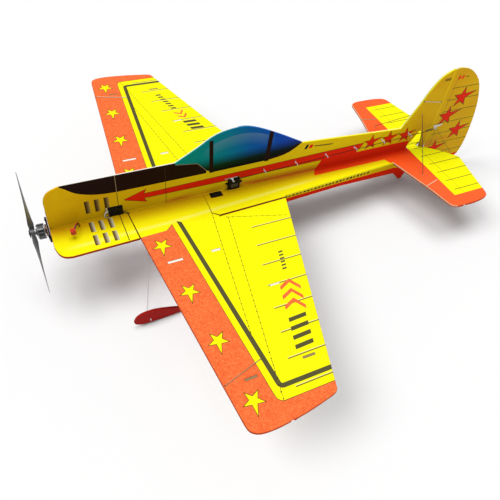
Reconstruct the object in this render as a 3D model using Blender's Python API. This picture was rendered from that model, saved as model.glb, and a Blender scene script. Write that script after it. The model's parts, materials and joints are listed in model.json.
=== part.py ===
"""Foam profile model aeroplane: crossed flat foam sheets, electric motor, servos and control linkages.

Frame: +X aft, +Y starboard, +Z up. The origin is on the ground, level with the wheels' lowest points and
under the middle of the length. The drawing starts at the nose: X from the floor sheet's front end, Z from
the middle of its thickness, in millimetres, and an empty carries every piece from there to the origin.
"""

import math

import bmesh
import bpy
from mathutils import Vector
from mathutils.geometry import tessellate_polygon

MM = 0.001

# Foam sheets
SHEET = 4.0                      # thickness of every foam sheet
HALF_SHEET = SHEET / 2
GAP = 0.4                        # clearance between neighbouring pieces
SEAT = HALF_SHEET + GAP          # distance from a sheet's middle plane to a piece lying on it
HALF_SPAN = 400.0
NOSE_FLOOR_END = 116.5           # on the centreline, where the wing's centre section starts
WING_END = 243.5                 # on the centreline, where the tail floor starts
SLIT = 0.8                       # half the width of the saw cut beside an aileron

# Hinges of the control surfaces; each axis lies in a sheet's outer surface
BEVEL = math.tan(math.radians(50))
HINGE_GAP = 0.5
AILERON_ROOT = (250.8, 56.2)
AILERON_TIP = (201.5, 398.2)
HINGE_END_Y = 397.0              # outboard end of the aileron hinge line
ELEVATOR_HINGE_HALF = 168.5
RUDDER_HINGE_LOW = -49.0
RUDDER_HINGE_HIGH = 158.0
ELEVATOR_HINGE_X = 665.8
RUDDER_HINGE_X = 707.6

# Motor and propeller, on the X axis
SHAFT_END = -29.0                # the foremost point of the aeroplane
TAIL_END = 819.2                 # the rearmost point, on the rudder
PROP_RADIUS = 91.0               # a 7 inch propeller
PROP_X = -23.2
HUB_HALF = 2.6                   # half the length of the propeller hub
PROP_CLOCK = 45.0                # degrees the propeller is turned from the Z axis
MOTOR_RADIUS = 11.8
MOUNT_REACH = 24.0               # of each arm of the motor mount

# Landing gear
AXLE_X = 108.0
AXLE_Z = -107.5
WHEEL_RADIUS = 12.0
WHEEL_WIDTH = 3.2
WHEEL_Y = 127.0
GEAR_X = 150.0                   # middle of the gear mount
GEAR_HALF = 8.0                  # half the length of the gear mount
GEAR_LOW, GEAR_HIGH = -46.0, -38.0
WIRE_RADIUS = 0.8
BORE = WIRE_RADIUS + 0.35
COLLAR_HALF = 1.1                # half the width of a wheel collar

# Control linkages
ROD_RADIUS = 0.5
ARM_THICK = 1.6
RUDDER_ARM = 10.8
ELEVATOR_ARM = 12.0
AILERON_ARM = 14.0
RUDDER_SERVO_X = 293.0
RUDDER_ROD_Z = 26.0
RUDDER_HORN_Z = 44.5
ELEVATOR_SERVO = (259.5, -8.4)
AILERON_SERVO_X = 187.0
AILERON_HORN_Y = 64.0
SERVO_LENGTH = 20.0
SERVO_WIDTH = 11.0
SERVO_HEIGHT = 19.8
SERVO_AXIS = 6.0                 # from a servo's end to its output axis
LUG = 4.0
LUG_THICK = 1.4
LUG_HEIGHT = 11.6                # from a servo's base to its lugs
HOLE_INSET = 1.6                 # from a rudder arm's end to its hole
LINK_HOLE = 1.1                  # radius of the hole that a rod end turns in
ARM_CLEARANCE = 0.4              # of an arm above its servo, beyond the usual gap
ROD_START = 1.8                  # from an arm's middle back to its rod's end
ROD_TURN = 1.2                   # from an arm's middle out to its rod's first bend
ROD_LEVEL = 2.2                  # from an arm's middle to its rod's long run
ROD_LEAD = 2.5                   # length of the slanting piece between the two
STRIP_THICK = 0.5                # of the glass-fibre strips


# ---------------------------------------------------------------- helpers

def clear_scene():
    for old in list(bpy.data.objects):
        bpy.data.objects.remove(old, do_unlink=True)


def material(name, colour, roughness, metallic=0.0):
    made = bpy.data.materials.new(name)
    made.use_nodes = True
    shader = made.node_tree.nodes["Principled BSDF"]
    shader.inputs["Base Color"].default_value = (*colour, 1.0)
    shader.inputs["Roughness"].default_value = roughness
    shader.inputs["Metallic"].default_value = metallic
    return made


def add_datum():
    """The empty that stands at the drawing's nose point and carries every piece."""
    datum = bpy.data.objects.new("datum", None)
    datum.location = (-(SHAFT_END + TAIL_END) / 2 * MM, 0, (WHEEL_RADIUS - AXLE_Z) * MM)
    bpy.context.scene.collection.objects.link(datum)
    return datum


def add_object(name, mesh_builder, finish, location=(0, 0, 0), smooth=False):
    """One named object whose mesh is in metres about its own origin, location in millimetres."""
    mesh = bpy.data.meshes.new(name)
    bmesh.ops.recalc_face_normals(mesh_builder, faces=mesh_builder.faces)
    mesh_builder.to_mesh(mesh)
    mesh_builder.free()
    mesh.materials.append(finish)
    made = bpy.data.objects.new(name, mesh)
    made.parent = DATUM
    made.location = Vector(location) * MM
    bpy.context.scene.collection.objects.link(made)
    if smooth:
        mesh.shade_smooth()
        mesh.set_sharp_from_angle(angle=math.radians(35))
    return made


def arc(centre, radius, start, end, steps):
    """Points of a circular arc, angles in degrees."""
    angles = [math.radians(start + (end - start) * i / steps) for i in range(steps + 1)]
    return [(centre[0] + radius * math.cos(a), centre[1] + radius * math.sin(a)) for a in angles]


def smooth_curve(points, steps=3):
    """A Catmull-Rom curve through the points, which keeps both ends."""
    ends = [points[0], *points, points[-1]]
    curve = []
    for a, b, c, d in zip(ends, ends[1:], ends[2:], ends[3:]):
        for i in range(steps):
            t = i / steps
            curve.append(tuple(
                0.5 * (2 * q + (r - p) * t + (2 * p - 5 * q + 4 * r - s) * t * t
                       + (3 * q - p - 3 * r + s) * t ** 3)
                for p, q, r, s in zip(a, b, c, d)))
    curve.append(points[-1])
    return curve


def circle(centre, radius, sides=12):
    return arc(centre, radius, 0, 360, sides)[:-1]


def rectangle(low, high):
    return [low, (high[0], low[1]), high, (low[0], high[1])]


def mirrored(half):
    """A closed outline from its half at +Y, whose first and last points lie on the centreline."""
    return half + [(x, -y) for x, y in reversed(half) if abs(y) > 1e-6]


def slab(outline, low, high, plane="XY", holes=(), far_outline=None):
    """A sheet between two levels. far_outline is the outline at the low level, where it differs."""
    place = {
        "XY": lambda u, v, w: (u, v, w),
        "XZ": lambda u, v, w: (u, w, v),
        "YZ": lambda u, v, w: (w, u, v),
    }[plane]
    loops = [outline, *holes]
    far_loops = [far_outline or outline, *holes]
    flat = [p for loop in loops for p in loop]
    far_flat = [p for loop in far_loops for p in loop]
    built = bmesh.new()
    top = [built.verts.new(Vector(place(u, v, high)) * MM) for u, v in flat]
    bottom = [built.verts.new(Vector(place(u, v, low)) * MM) for u, v in far_flat]
    for face in tessellate_polygon([[Vector((u, v, 0)) for u, v in loop] for loop in loops]):
        built.faces.new([top[i] for i in face])
        built.faces.new([bottom[i] for i in reversed(face)])
    first = 0
    for loop in loops:
        count = len(loop)
        for i in range(count):
            a, b = first + i, first + (i + 1) % count
            built.faces.new([top[a], top[b], bottom[b], bottom[a]])
        first += count
    return built


def lathe(profile, axis, sides=24):
    """A ring turned about an axis from a closed profile of (distance along the axis, radius)."""
    place = {
        "X": lambda s, a, b: (s, a, b),
        "Y": lambda s, a, b: (a, s, b),
    }[axis]
    built = bmesh.new()
    rings = []
    for i in range(sides):
        turn = 2 * math.pi * i / sides
        rings.append([built.verts.new(Vector(place(s, r * math.cos(turn), r * math.sin(turn))) * MM)
                      for s, r in profile])
    for i, ring in enumerate(rings):
        following = rings[(i + 1) % sides]
        for k in range(len(profile)):
            n = (k + 1) % len(profile)
            built.faces.new([ring[k], ring[n], following[n], following[k]])
    return built


def swept(path, radius, sides=8):
    """A round rod along a path of points in millimetres."""
    points = [Vector(p) for p in path]
    built = bmesh.new()
    rings = []
    side = None
    for i, point in enumerate(points):
        before = (point - points[i - 1]).normalized() if i else None
        after = (points[i + 1] - point).normalized() if i + 1 < len(points) else None
        along = (before or after) + (after or before)
        along.normalize()
        if side is None:
            side = along.orthogonal()
        side = (side - along * side.dot(along)).normalized()
        other = along.cross(side)
        mitre = 1.0 if not (before and after) else 1 / max(0.5, math.cos(before.angle(after) / 2))
        rings.append([
            built.verts.new((point + (side * math.cos(2 * math.pi * k / sides)
                                      + other * math.sin(2 * math.pi * k / sides) * mitre) * radius) * MM)
            for k in range(sides)])
    for ring, following in zip(rings, rings[1:]):
        for k in range(sides):
            n = (k + 1) % sides
            built.faces.new([ring[k], ring[n], following[n], following[k]])
    built.faces.new(rings[0])
    built.faces.new(rings[-1])
    return built


def box(low, high):
    return slab(rectangle(low[:2], high[:2]), low[2], high[2])


# ---------------------------------------------------------------- materials

clear_scene()
DATUM = add_datum()
YELLOW = material("yellow_foam", (1.0, 0.85, 0.0), 0.6)
RED = material("red_foam", (0.85, 0.10, 0.02), 0.6)
CARBON = material("carbon", (0.03, 0.03, 0.035), 0.35)
BLACK_PLASTIC = material("black_plastic", (0.02, 0.02, 0.02), 0.45)
WHITE_PLASTIC = material("white_plastic", (0.85, 0.84, 0.80), 0.4)
STEEL = material("steel", (0.5, 0.5, 0.52), 0.3, 1.0)
COPPER = material("copper_winding", (0.45, 0.20, 0.08), 0.4, 0.8)
RUBBER = material("rubber", (0.03, 0.03, 0.03), 0.8)
WHEEL_FOAM = material("wheel_foam", (0.04, 0.04, 0.04), 0.8)
GREY_PLASTIC = material("grey_plastic", (0.16, 0.16, 0.17), 0.4)
RED_PLASTIC = material("red_plastic", (0.7, 0.03, 0.02), 0.4)
GLASS = material("glass_fibre", (0.60, 0.45, 0.20), 0.3)
BLUE_WRAP = material("blue_wrap", (0.03, 0.10, 0.45), 0.35)


# ---------------------------------------------------------------- foam sheets

def hinge_x(y):
    """X of the aileron hinge line at a distance y from the centreline."""
    (x0, y0), (x1, y1) = AILERON_ROOT, AILERON_TIP
    return x0 + (x1 - x0) * (y - y0) / (y1 - y0)


def slot(x0, x1, y, width):
    return rectangle((x0, y - width / 2), (x1, y + width / 2))


def nose_floor():
    corner = smooth_curve([(0, 40), (3.5, 54), (10.5, 63), (21, 66)])
    outline = mirrored([(0, 0), *corner, (119.5, 62.8), (NOSE_FLOOR_END - GAP, 0)])
    add_object("nose_floor", slab(outline, -HALF_SHEET, HALF_SHEET), YELLOW)


def wing():
    tip = smooth_curve([(148.2, 380), (151, 391.5), (162, 398.5), (182, HALF_SPAN), (201, 398.6)])
    half = [(NOSE_FLOOR_END, 0), (120.5, 63.2), *tip,
            (hinge_x(HINGE_END_Y) - HINGE_GAP, HINGE_END_Y),
            (AILERON_ROOT[0] - HINGE_GAP, AILERON_ROOT[1]),
            (240.8, 47), (WING_END, 0)]
    holes = []
    for side in (-1, 1):
        holes += [slot(142.8, 166, side * 122.4, 4), slot(210.7, 224.7, side * 122.4, 4),
                  slot(171.3, 188.1, side * 331.6, 3)]
    add_object("wing", slab(mirrored(half), -HALF_SHEET, HALF_SHEET, holes=holes), YELLOW)


def aileron(name, side):
    """Trailing surface of one wing, hinged along its upper front edge."""
    root_y = AILERON_ROOT[1] + 2 * SLIT
    tip = smooth_curve([(203.5, 398.3), (222, 396.6), (245, 392.8), (264, 389)])
    corner = [(270, 387), (273, 383.6), (274.8, 378)]
    front = [(hinge_x(root_y), root_y), (hinge_x(HINGE_END_Y), HINGE_END_Y)]
    rest = [*tip, *corner, (372, 51.2 + 2 * SLIT)]
    reach = SHEET * BEVEL
    upper = [(x, side * y) for x, y in front + rest]
    lower = [(x + reach, side * y) for x, y in front]
    lower += [(max(x, hinge_x(HINGE_END_Y) + reach + 1), side * y) for x, y in rest]
    holes = [slot(264.8, 280.1, side * 211, 3), slot(253.6, 270.9, side * 330.6, 3)]
    add_object(name, slab(upper, -HALF_SHEET, HALF_SHEET, holes=holes, far_outline=lower), YELLOW)


def stabilizer():
    """Rear floor of the fuselage with the fixed part of the tailplane, in one sheet."""
    tip = smooth_curve([(640.3, 154.5), (643, 163), (652, 168.4), (ELEVATOR_HINGE_X - HINGE_GAP, 169.5)])
    half = [(WING_END + GAP, 0), (241.5, 46.6), (252, 55), (372, 50.4), (374.5, 47), (611.7, 30.8),
            (631.9, 110), *tip, (ELEVATOR_HINGE_X - HINGE_GAP, 0)]
    servo_low = (ELEVATOR_SERVO[0] - SERVO_AXIS - GAP, ELEVATOR_SERVO[1] - SERVO_WIDTH / 2 - GAP)
    servo_high = (servo_low[0] + SERVO_LENGTH + 2 * GAP, servo_low[1] + SERVO_WIDTH + 2 * GAP)
    holes = [rectangle(servo_low, servo_high)]
    add_object("stabilizer", slab(mirrored(half), -HALF_SHEET, HALF_SHEET, holes=holes), YELLOW)


def elevator():
    """One surface across the centre, with a notch that clears the rudder."""
    tip = smooth_curve([(668, 169.5), (690, 169.5), (712, 167), (723.4, 163), (728.6, 156)])
    front = [(ELEVATOR_HINGE_X, 0), (ELEVATOR_HINGE_X, ELEVATOR_HINGE_HALF)]
    rest = [*tip, (751.5, 57), (750.5, 54), (728, 29.6), (702.5, 8.2), (690.3, 3.6), (690.3, 0)]
    reach = SHEET * BEVEL
    upper = mirrored([front[0], front[1], *rest])
    lower = mirrored([(front[0][0] + reach, 0), (front[1][0] + reach, ELEVATOR_HINGE_HALF)]
                     + [(max(x, ELEVATOR_HINGE_X + reach + 0.5), y) for x, y in rest])
    add_object("elevator", slab(upper, -HALF_SHEET, HALF_SHEET, far_outline=lower), YELLOW)


def wedge(sign):
    """Edge of a vertical sheet around the elevator's swing, from the front foot to the fin post."""
    return [(662, sign * SEAT), (662, sign * 8), (680, sign * 39.4), (689.4, sign * 34),
            (694, sign * 17), (696, sign * GAP / 2)]


def fuselage_top():
    """Vertical sheet above the floor: nose, canopy, rear deck and fin."""
    nose = smooth_curve([(1, 50), (3.5, 62), (11, 71.5), (25, 77)])
    canopy = smooth_curve([(196, 77), (231, 97), (262, 115.5), (297, 121.8), (325, 117),
                           (369, 96.5), (420, 68)], 4)
    fin = smooth_curve([(631, 53), (656.3, 99), (668, 125), (685, 149), (RUDDER_HINGE_X - HINGE_GAP, 160.7)], 4)
    servo_x = RUDDER_SERVO_X - SERVO_AXIS
    left, right = servo_x - GAP, servo_x + SERVO_LENGTH + GAP
    lug_low, lug_high = SEAT + LUG_HEIGHT - GAP, SEAT + LUG_HEIGHT + LUG_THICK + GAP
    servo_top = SEAT + SERVO_HEIGHT + GAP
    arm_top = servo_top + ARM_THICK + 2 * GAP
    arm_end = RUDDER_SERVO_X - RUDDER_ARM - 2
    servo_notch = [(right, SEAT), (right, lug_low), (right + LUG + GAP, lug_low),
                   (right + LUG + GAP, lug_high), (right, lug_high), (right, arm_top),
                   (arm_end, arm_top), (arm_end, servo_top), (left, servo_top),
                   (left, lug_high), (left - LUG - GAP, lug_high),
                   (left - LUG - GAP, lug_low), (left, lug_low), (left, SEAT)]
    box_notch = [(110.2, SEAT), (110.2, 19), (83.8, 19), (83.8, SEAT)]
    outline = [*nose, *canopy, *fin, (RUDDER_HINGE_X - HINGE_GAP, GAP / 2), *reversed(wedge(1)),
               *servo_notch, *box_notch, (1, SEAT)]
    add_object("fuselage_top", slab(outline, -HALF_SHEET, HALF_SHEET, "XZ"), YELLOW)


def fuselage_bottom():
    """Vertical sheet below the floor, with the tail skid and openings for the gear and a servo."""
    nose = smooth_curve([(1, -42), (3.5, -54), (11, -63), (25, -67.5)])
    skid = smooth_curve([(653.6, -57.5), (664, -67), (673, -75.5), (680, -77), (684, -68), (693, -50)])
    left = AILERON_SERVO_X - SERVO_AXIS - LUG - GAP
    right = left + SERVO_LENGTH + 2 * (LUG + GAP)
    servo_notch = [(left, -SEAT), (left, -28.5), (right, -28.5), (right, -SEAT)]
    outline = [(1, -SEAT), *nose, (412, -64.5), (522, -57), *skid,
               (RUDDER_HINGE_X - HINGE_GAP, RUDDER_HINGE_LOW), (RUDDER_HINGE_X - HINGE_GAP, -GAP / 2),
               *reversed(wedge(-1)), *reversed(servo_notch)]
    holes = [rectangle((GEAR_X - GEAR_HALF - GAP, GEAR_LOW - GAP), (GEAR_X + GEAR_HALF + GAP, GEAR_HIGH + GAP))]
    add_object("fuselage_bottom", slab(outline, -HALF_SHEET, HALF_SHEET, "XZ", holes=holes), RED)


def rudder():
    """Rear part of the fin, hinged along its port front edge."""
    edge = smooth_curve([(RUDDER_HINGE_X + 1.5, 161), (722, 161.8), (747, 154.4), (776.5, 131), (797, 95.4),
                         (810, 55), (817.6, 9), (819, -20), (815, -42), (806, -49)], 3)
    front = [(RUDDER_HINGE_X, RUDDER_HINGE_LOW), (RUDDER_HINGE_X, RUDDER_HINGE_HIGH)]
    reach = SHEET * BEVEL
    near = front + edge
    far = [(x + reach, z) for x, z in front]
    far += [(max(x, RUDDER_HINGE_X + reach + 0.5), z) for x, z in edge]
    add_object("rudder", slab(far, -HALF_SHEET, HALF_SHEET, "XZ", far_outline=near), YELLOW)


# ---------------------------------------------------------------- carbon stiffening

def strips_and_struts():
    for name, side in (("left", -1), ("right", 1)):
        spar = rectangle((176.5, side * SEAT), (179.5, side * 330))
        add_object(name + "_spar", slab(spar, -SEAT - 1, -SEAT), CARBON)
        add_object(name + "_wing_strip", strip_on_floor((145.5, side * 330), (203, side * 312.2)), GLASS)
        add_object(name + "_stabilizer_strip",
                   strip_on_floor((631, side * 107.6), (661.6, side * 99.4)), GLASS)
        strut = swept([(667.9, side * (SEAT + 0.6), 78.5), (643.4, side * 79.6, SEAT + 0.6)], 0.5, 6)
        add_object(name + "_tail_strut", strut, CARBON, smooth=True)
    outline = strip((660, 105.4), (705, 97))
    add_object("fin_strip", slab(outline, -SEAT - STRIP_THICK, -SEAT, "XZ"), GLASS)


def strip(start, end, width=1.0):
    """Outline of a narrow strip between two points."""
    along = Vector(end) - Vector(start)
    across = Vector((-along.y, along.x)).normalized() * width / 2
    corners = [Vector(start) - across, Vector(end) - across, Vector(end) + across, Vector(start) + across]
    return [tuple(c) for c in corners]


def strip_on_floor(start, end):
    return slab(strip(start, end), SEAT, SEAT + STRIP_THICK)


# ---------------------------------------------------------------- motor and propeller

def motor():
    arm, pad = 1.2, 3.0
    plate = []
    for turn in (0, 90, 180, 270):
        a = math.radians(turn)
        for along, across in ((8, -arm), (MOUNT_REACH - 2 * pad, -arm), (MOUNT_REACH - 2 * pad, -pad),
                              (MOUNT_REACH, -pad), (MOUNT_REACH, pad), (MOUNT_REACH - 2 * pad, pad),
                              (MOUNT_REACH - 2 * pad, arm), (8, arm)):
            plate.append((along * math.cos(a) - across * math.sin(a),
                          along * math.sin(a) + across * math.cos(a)))
    add_object("motor_mount", slab(plate, -2.6, -GAP, "YZ", holes=[circle((0, 0), 3.2)]), BLACK_PLASTIC)

    stator = [(-3, 2), (-3, 9.2), (-5.2, 9.2), (-5.2, 5), (-7.5, 5), (-7.5, 9.4), (-14, 9.4), (-14, 2)]
    add_object("motor_stator", lathe(stator, "X"), COPPER, smooth=True)
    bell = [(-6, 10.3), (-6, MOTOR_RADIUS), (-15.6, MOTOR_RADIUS), (-17.2, 9.8), (-17.2, 1.9), (-15, 1.9),
            (-15, 10.3)]
    add_object("motor_bell", lathe(bell, "X"), STEEL, smooth=True)
    add_object("motor_shaft", swept([(SHAFT_END, 0, 0), (-4.5, 0, 0)], 1.5, 12), STEEL, smooth=True)
    saver = [(-17.6, 1.9), (-17.6, 4.4), (-18.1, 5.2), (-19, 5.2), (-19, 2.9), (-27.8, 2.9), (-27.8, 1.9)]
    add_object("prop_saver", lathe(saver, "X"), STEEL, smooth=True)


def propeller():
    """Two slender twisted blades on a round hub, each blade section a flat-bottomed aerofoil."""
    built = bmesh.new()
    stations = [-1, -0.96, -0.85, -0.65, -0.45, -0.28, -0.15, -0.05, 0.05, 0.15, 0.28, 0.45, 0.65, 0.85, 0.96, 1]
    section = [(-0.5, 0), (-0.28, 0.42), (0.05, 0.5), (0.35, 0.25), (0.5, 0), (0.2, -0.28), (-0.25, -0.3)]
    rings = []
    for s in stations:
        span = abs(s)
        chord = 12.0 * math.sin(math.pi * min(1, 0.16 + 0.84 * span ** 0.62) * 0.93) + 2.4
        thick = 3.2 - 2.5 * span
        pitch = math.atan2(0.55, 2 * math.pi * 0.75 * max(span, 0.16)) * (1 if s > 0 else -1)
        ring = []
        for u, v in section:
            across = u * chord * (1 if s > 0 else -1)
            depth = -v * thick
            y = across * math.cos(pitch) - depth * math.sin(pitch)
            x = across * math.sin(pitch) + depth * math.cos(pitch)
            ring.append(built.verts.new(Vector((x, y, s * PROP_RADIUS)) * MM))
        rings.append(ring if s > 0 else [ring[0], *reversed(ring[1:])])
    blades = [rings[:8], rings[8:]]
    for blade in blades:
        for ring, following in zip(blade, blade[1:]):
            count = len(ring)
            for k in range(count):
                n = (k + 1) % count
                built.faces.new([ring[k], ring[n], following[n], following[k]])
        built.faces.new(blade[0])
        built.faces.new(blade[-1])
    made = add_object("propeller", built, GREY_PLASTIC, (PROP_X, 0, 0), smooth=True)
    made.rotation_euler = (math.radians(-PROP_CLOCK), 0, 0)

    hub_profile = [(-HUB_HALF, 3.3), (-HUB_HALF, 5.6), (0.6 - HUB_HALF, 6.4), (HUB_HALF - 0.6, 6.4),
                   (HUB_HALF, 5.6), (HUB_HALF, 3.3)]
    hub = add_object("propeller_hub_cutter", lathe(hub_profile, "X"), GREY_PLASTIC, (PROP_X, 0, 0))
    bore = add_object("propeller_bore_cutter", swept([(-8, 0, 0), (8, 0, 0)], 3.3, 24), GREY_PLASTIC,
                      (PROP_X, 0, 0))
    for cutter, operation in ((bore, "DIFFERENCE"), (hub, "UNION")):
        cutter.hide_render = True
        cutter.display_type = "WIRE"
        change = made.modifiers.new(operation.lower(), "BOOLEAN")
        change.operation = operation
        change.object = cutter
    band = [(PROP_X - HUB_HALF - 1.6 + u, 5.2 + v) for u, v in circle((0, 0), 0.8, 8)]
    add_object("prop_band", lathe(band, "X"), RUBBER, smooth=True)


# ---------------------------------------------------------------- landing gear

def landing_gear():
    block = box((GEAR_X - GEAR_HALF, -5, GEAR_LOW), (GEAR_X + GEAR_HALF, 5, GEAR_HIGH))
    add_object("gear_mount", block, BLACK_PLASTIC)
    for name, side in (("left", -1), ("right", 1)):
        leg = [(GEAR_X, side * 5.4, -42), (GEAR_X - 1, side * 9, -43.5), (AXLE_X, side * 116.5, AXLE_Z + 1.5),
               (AXLE_X, side * 119.5, AXLE_Z), (AXLE_X, side * 136.5, AXLE_Z)]
        add_object(name + "_gear_leg", swept(leg, WIRE_RADIUS), STEEL, smooth=True)
        half = WHEEL_WIDTH / 2
        face = [(half, BORE), (half, 3.4), (half - 0.6, 4), (half - 0.6, 8.4), (half, 9.2),
                (half - 0.3, WHEEL_RADIUS - 0.8), (half - 1, WHEEL_RADIUS)]
        tyre = [(-x, r) for x, r in face] + face[::-1]
        add_object(name + "_wheel", lathe(tyre, "Y", 32), WHEEL_FOAM,
                   (AXLE_X, side * WHEEL_Y, AXLE_Z), smooth=True)
        collar = [(-COLLAR_HALF, BORE), (-COLLAR_HALF, 2.8), (COLLAR_HALF, 2.8), (COLLAR_HALF, BORE)]
        add_object(name + "_wheel_collar", lathe(collar, "Y", 16), STEEL,
                   (AXLE_X, side * (WHEEL_Y - half - COLLAR_HALF - 0.5), AXLE_Z), smooth=True)
        inner = side * (WHEEL_Y + half + 0.6)
        low, high = sorted((inner, inner + side * SHEET))
        add_object(name + "_wheel_pant",
                   slab(pant_outline(), low, high, "XZ", holes=[circle((AXLE_X, AXLE_Z), BORE)]), RED)


def pant_outline():
    """Teardrop fairing: blunt nose, fullest above the axle, drawn out to the rear."""
    upper = [(82.5, -107.5), (87, -97.5), (98, -90.8), (118, -90.2), (145, -98), (177, -110)]
    lower = [(177, -110), (150, -114.6), (122, -116.6), (100, -117), (87.5, -114), (82.5, -107.5)]
    return smooth_curve(upper)[:-1] + smooth_curve(lower)[:-1]


# ---------------------------------------------------------------- servos, arms, horns and rods

def servo(name, axis, side_low, side_high, output_z, body_z):
    """A servo whose body runs from output_z away to body_z, lugs near its output end."""
    up = 1 if output_z > body_z else -1
    x0, x1 = axis - SERVO_AXIS, axis + SERVO_LENGTH - SERVO_AXIS
    lug_near = body_z + up * LUG_HEIGHT
    lug_far = lug_near + up * LUG_THICK
    outline = [(x0, body_z), (x1, body_z), (x1, lug_near), (x1 + LUG, lug_near), (x1 + LUG, lug_far),
               (x1, lug_far), (x1, output_z), (x0, output_z), (x0, lug_far), (x0 - LUG, lug_far),
               (x0 - LUG, lug_near), (x0, lug_near)]
    add_object(name, slab(outline, side_low, side_high, "XZ"), BLACK_PLASTIC)


def arm_outline(length, back, width=5.0, tip_width=3.4, double=False):
    """A tapered arm towards -Y about its hub, with a second arm or a short back end."""
    far = arc((0, -length), tip_width / 2, 180, 360, 5)
    if double:
        near = arc((0, length), tip_width / 2, 0, 180, 5)
    else:
        near = arc((0, back), width / 2, 0, 180, 5)
    waist = [(-width / 2, 0)]
    return far + [(width / 2, 0)] + near + waist


def star_outline(length, hub=3.4, width=2.6):
    """Three arms, towards -X, -Y and +X, on a round hub."""
    points = arc((0, 0), hub, 25, 155, 4)
    for turn in (180, 270, 360):
        a = math.radians(turn)
        for along, across in ((hub + 0.4, -width / 2), (length, -width / 2), (length + 1, 0),
                              (length, width / 2), (hub + 0.4, width / 2)):
            points.append((along * math.cos(a) - across * math.sin(a),
                           along * math.sin(a) + across * math.cos(a)))
    return points


def servo_arm(name, outline, pivot, holes):
    z = pivot[2]
    built = slab(outline, -ARM_THICK / 2, ARM_THICK / 2, holes=holes)
    add_object(name, built, WHITE_PLASTIC, (pivot[0], pivot[1], z))


def pushrod(name, path):
    add_object(name, swept(path, ROD_RADIUS), BLACK_PLASTIC, smooth=True)


def horn(name, hinge, tip, side_low, side_high, plane):
    """A triangular horn: a foot on the surface behind the hinge and a hole in line with the hinge."""
    hx, level = hinge
    down = -1 if tip < level else 1
    foot = level + down * (SHEET + GAP) if plane == "XZ" else level + down * GAP
    outline = [(hx + 3.2, foot), (hx + 17, foot), (hx + 17, foot + down * 1.4),
               (hx + 7, tip * 0.5 + foot * 0.5),
               *[(hx + u, tip + v) for u, v in arc((0, 0), 2.2, 60 * -down, -180 * -down, 6)]]
    add_object(name, slab(outline, side_low, side_high, plane, holes=[circle((hx, tip), LINK_HOLE, 8)]),
               WHITE_PLASTIC)


def rudder_linkage():
    arm_z = SEAT + SERVO_HEIGHT + GAP + ARM_THICK / 2 + ARM_CLEARANCE
    servo("rudder_servo", RUDDER_SERVO_X, -SERVO_WIDTH / 2, SERVO_WIDTH / 2, SEAT + SERVO_HEIGHT, SEAT)
    servo_arm("rudder_servo_arm", star_outline(RUDDER_ARM), (RUDDER_SERVO_X, 0, arm_z),
              [circle((0, -RUDDER_ARM + HOLE_INSET), LINK_HOLE, 8)])
    reach = RUDDER_ARM - HOLE_INSET
    start = (RUDDER_SERVO_X, -reach, RUDDER_ROD_Z)
    end = (RUDDER_HINGE_X, -HALF_SHEET - reach, RUDDER_HORN_Z - 1.7)
    pushrod("rudder_pushrod", [(start[0], start[1], arm_z - ROD_START), (start[0], start[1], arm_z + ROD_TURN),
                               (start[0] + ROD_LEAD, start[1], arm_z + ROD_LEVEL), (end[0] - 2, end[1], end[2]),
                               (end[0], end[1], end[2] + 1), (end[0], end[1], end[2] + 3.6)])
    outline = [(RUDDER_HINGE_X + 3.2, -SEAT), (RUDDER_HINGE_X + 24, -SEAT), (RUDDER_HINGE_X + 24, -SEAT - 1.2),
               (RUDDER_HINGE_X + 8, -SEAT - 4),
               *[(RUDDER_HINGE_X + u, end[1] + v) for u, v in arc((0, 0), 2, 30, -180, 6)]]
    add_object("rudder_horn", slab(outline, RUDDER_HORN_Z - 0.5, RUDDER_HORN_Z + 1.1,
                                   holes=[circle((RUDDER_HINGE_X, end[1]), 1.15, 8)]), WHITE_PLASTIC)
    for number in range(6):
        x = 351.0 + 60.1 * number
        share = (x - start[0]) / (end[0] - start[0])
        y = start[1] + share * (end[1] - start[1])
        z = (arm_z + ROD_LEVEL) + share * (end[2] - arm_z - ROD_LEVEL)
        plate = [(-SEAT, z - 1.8), (-SEAT, z + 1.8), (y - 2.4, z + 1.8), (y - 2.4, z - 1.8)]
        hole = rectangle((y - 1.3, z - 1.1), (y + 4.4, z + 1.1))
        add_object(f"rod_guide_{number + 1}", slab(plate, x - 0.7, x + 0.7, "YZ", holes=[hole]), WHITE_PLASTIC)


def elevator_linkage():
    x, y = ELEVATOR_SERVO
    top = HALF_SHEET + 0.6
    bottom = top - SERVO_HEIGHT
    arm_z = bottom - GAP - ARM_THICK / 2 - ARM_CLEARANCE
    servo("elevator_servo", x, y - SERVO_WIDTH / 2, y + SERVO_WIDTH / 2, bottom, top)
    servo_arm("elevator_servo_arm", arm_outline(ELEVATOR_ARM, 1.5), (x, y, arm_z),
              [circle((0, -ELEVATOR_ARM), LINK_HOLE, 8)])
    tip = HALF_SHEET - ELEVATOR_ARM
    rod_y = y - ELEVATOR_ARM
    pushrod("elevator_pushrod", [(x, rod_y, arm_z + ROD_START), (x, rod_y, arm_z - ROD_TURN),
                                 (x + ROD_LEAD, rod_y, arm_z - ROD_LEVEL), (ELEVATOR_HINGE_X, rod_y, tip)])
    horn("elevator_horn", (ELEVATOR_HINGE_X, HALF_SHEET), tip, rod_y - 2.8, rod_y - 1.2, "XZ")


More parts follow.
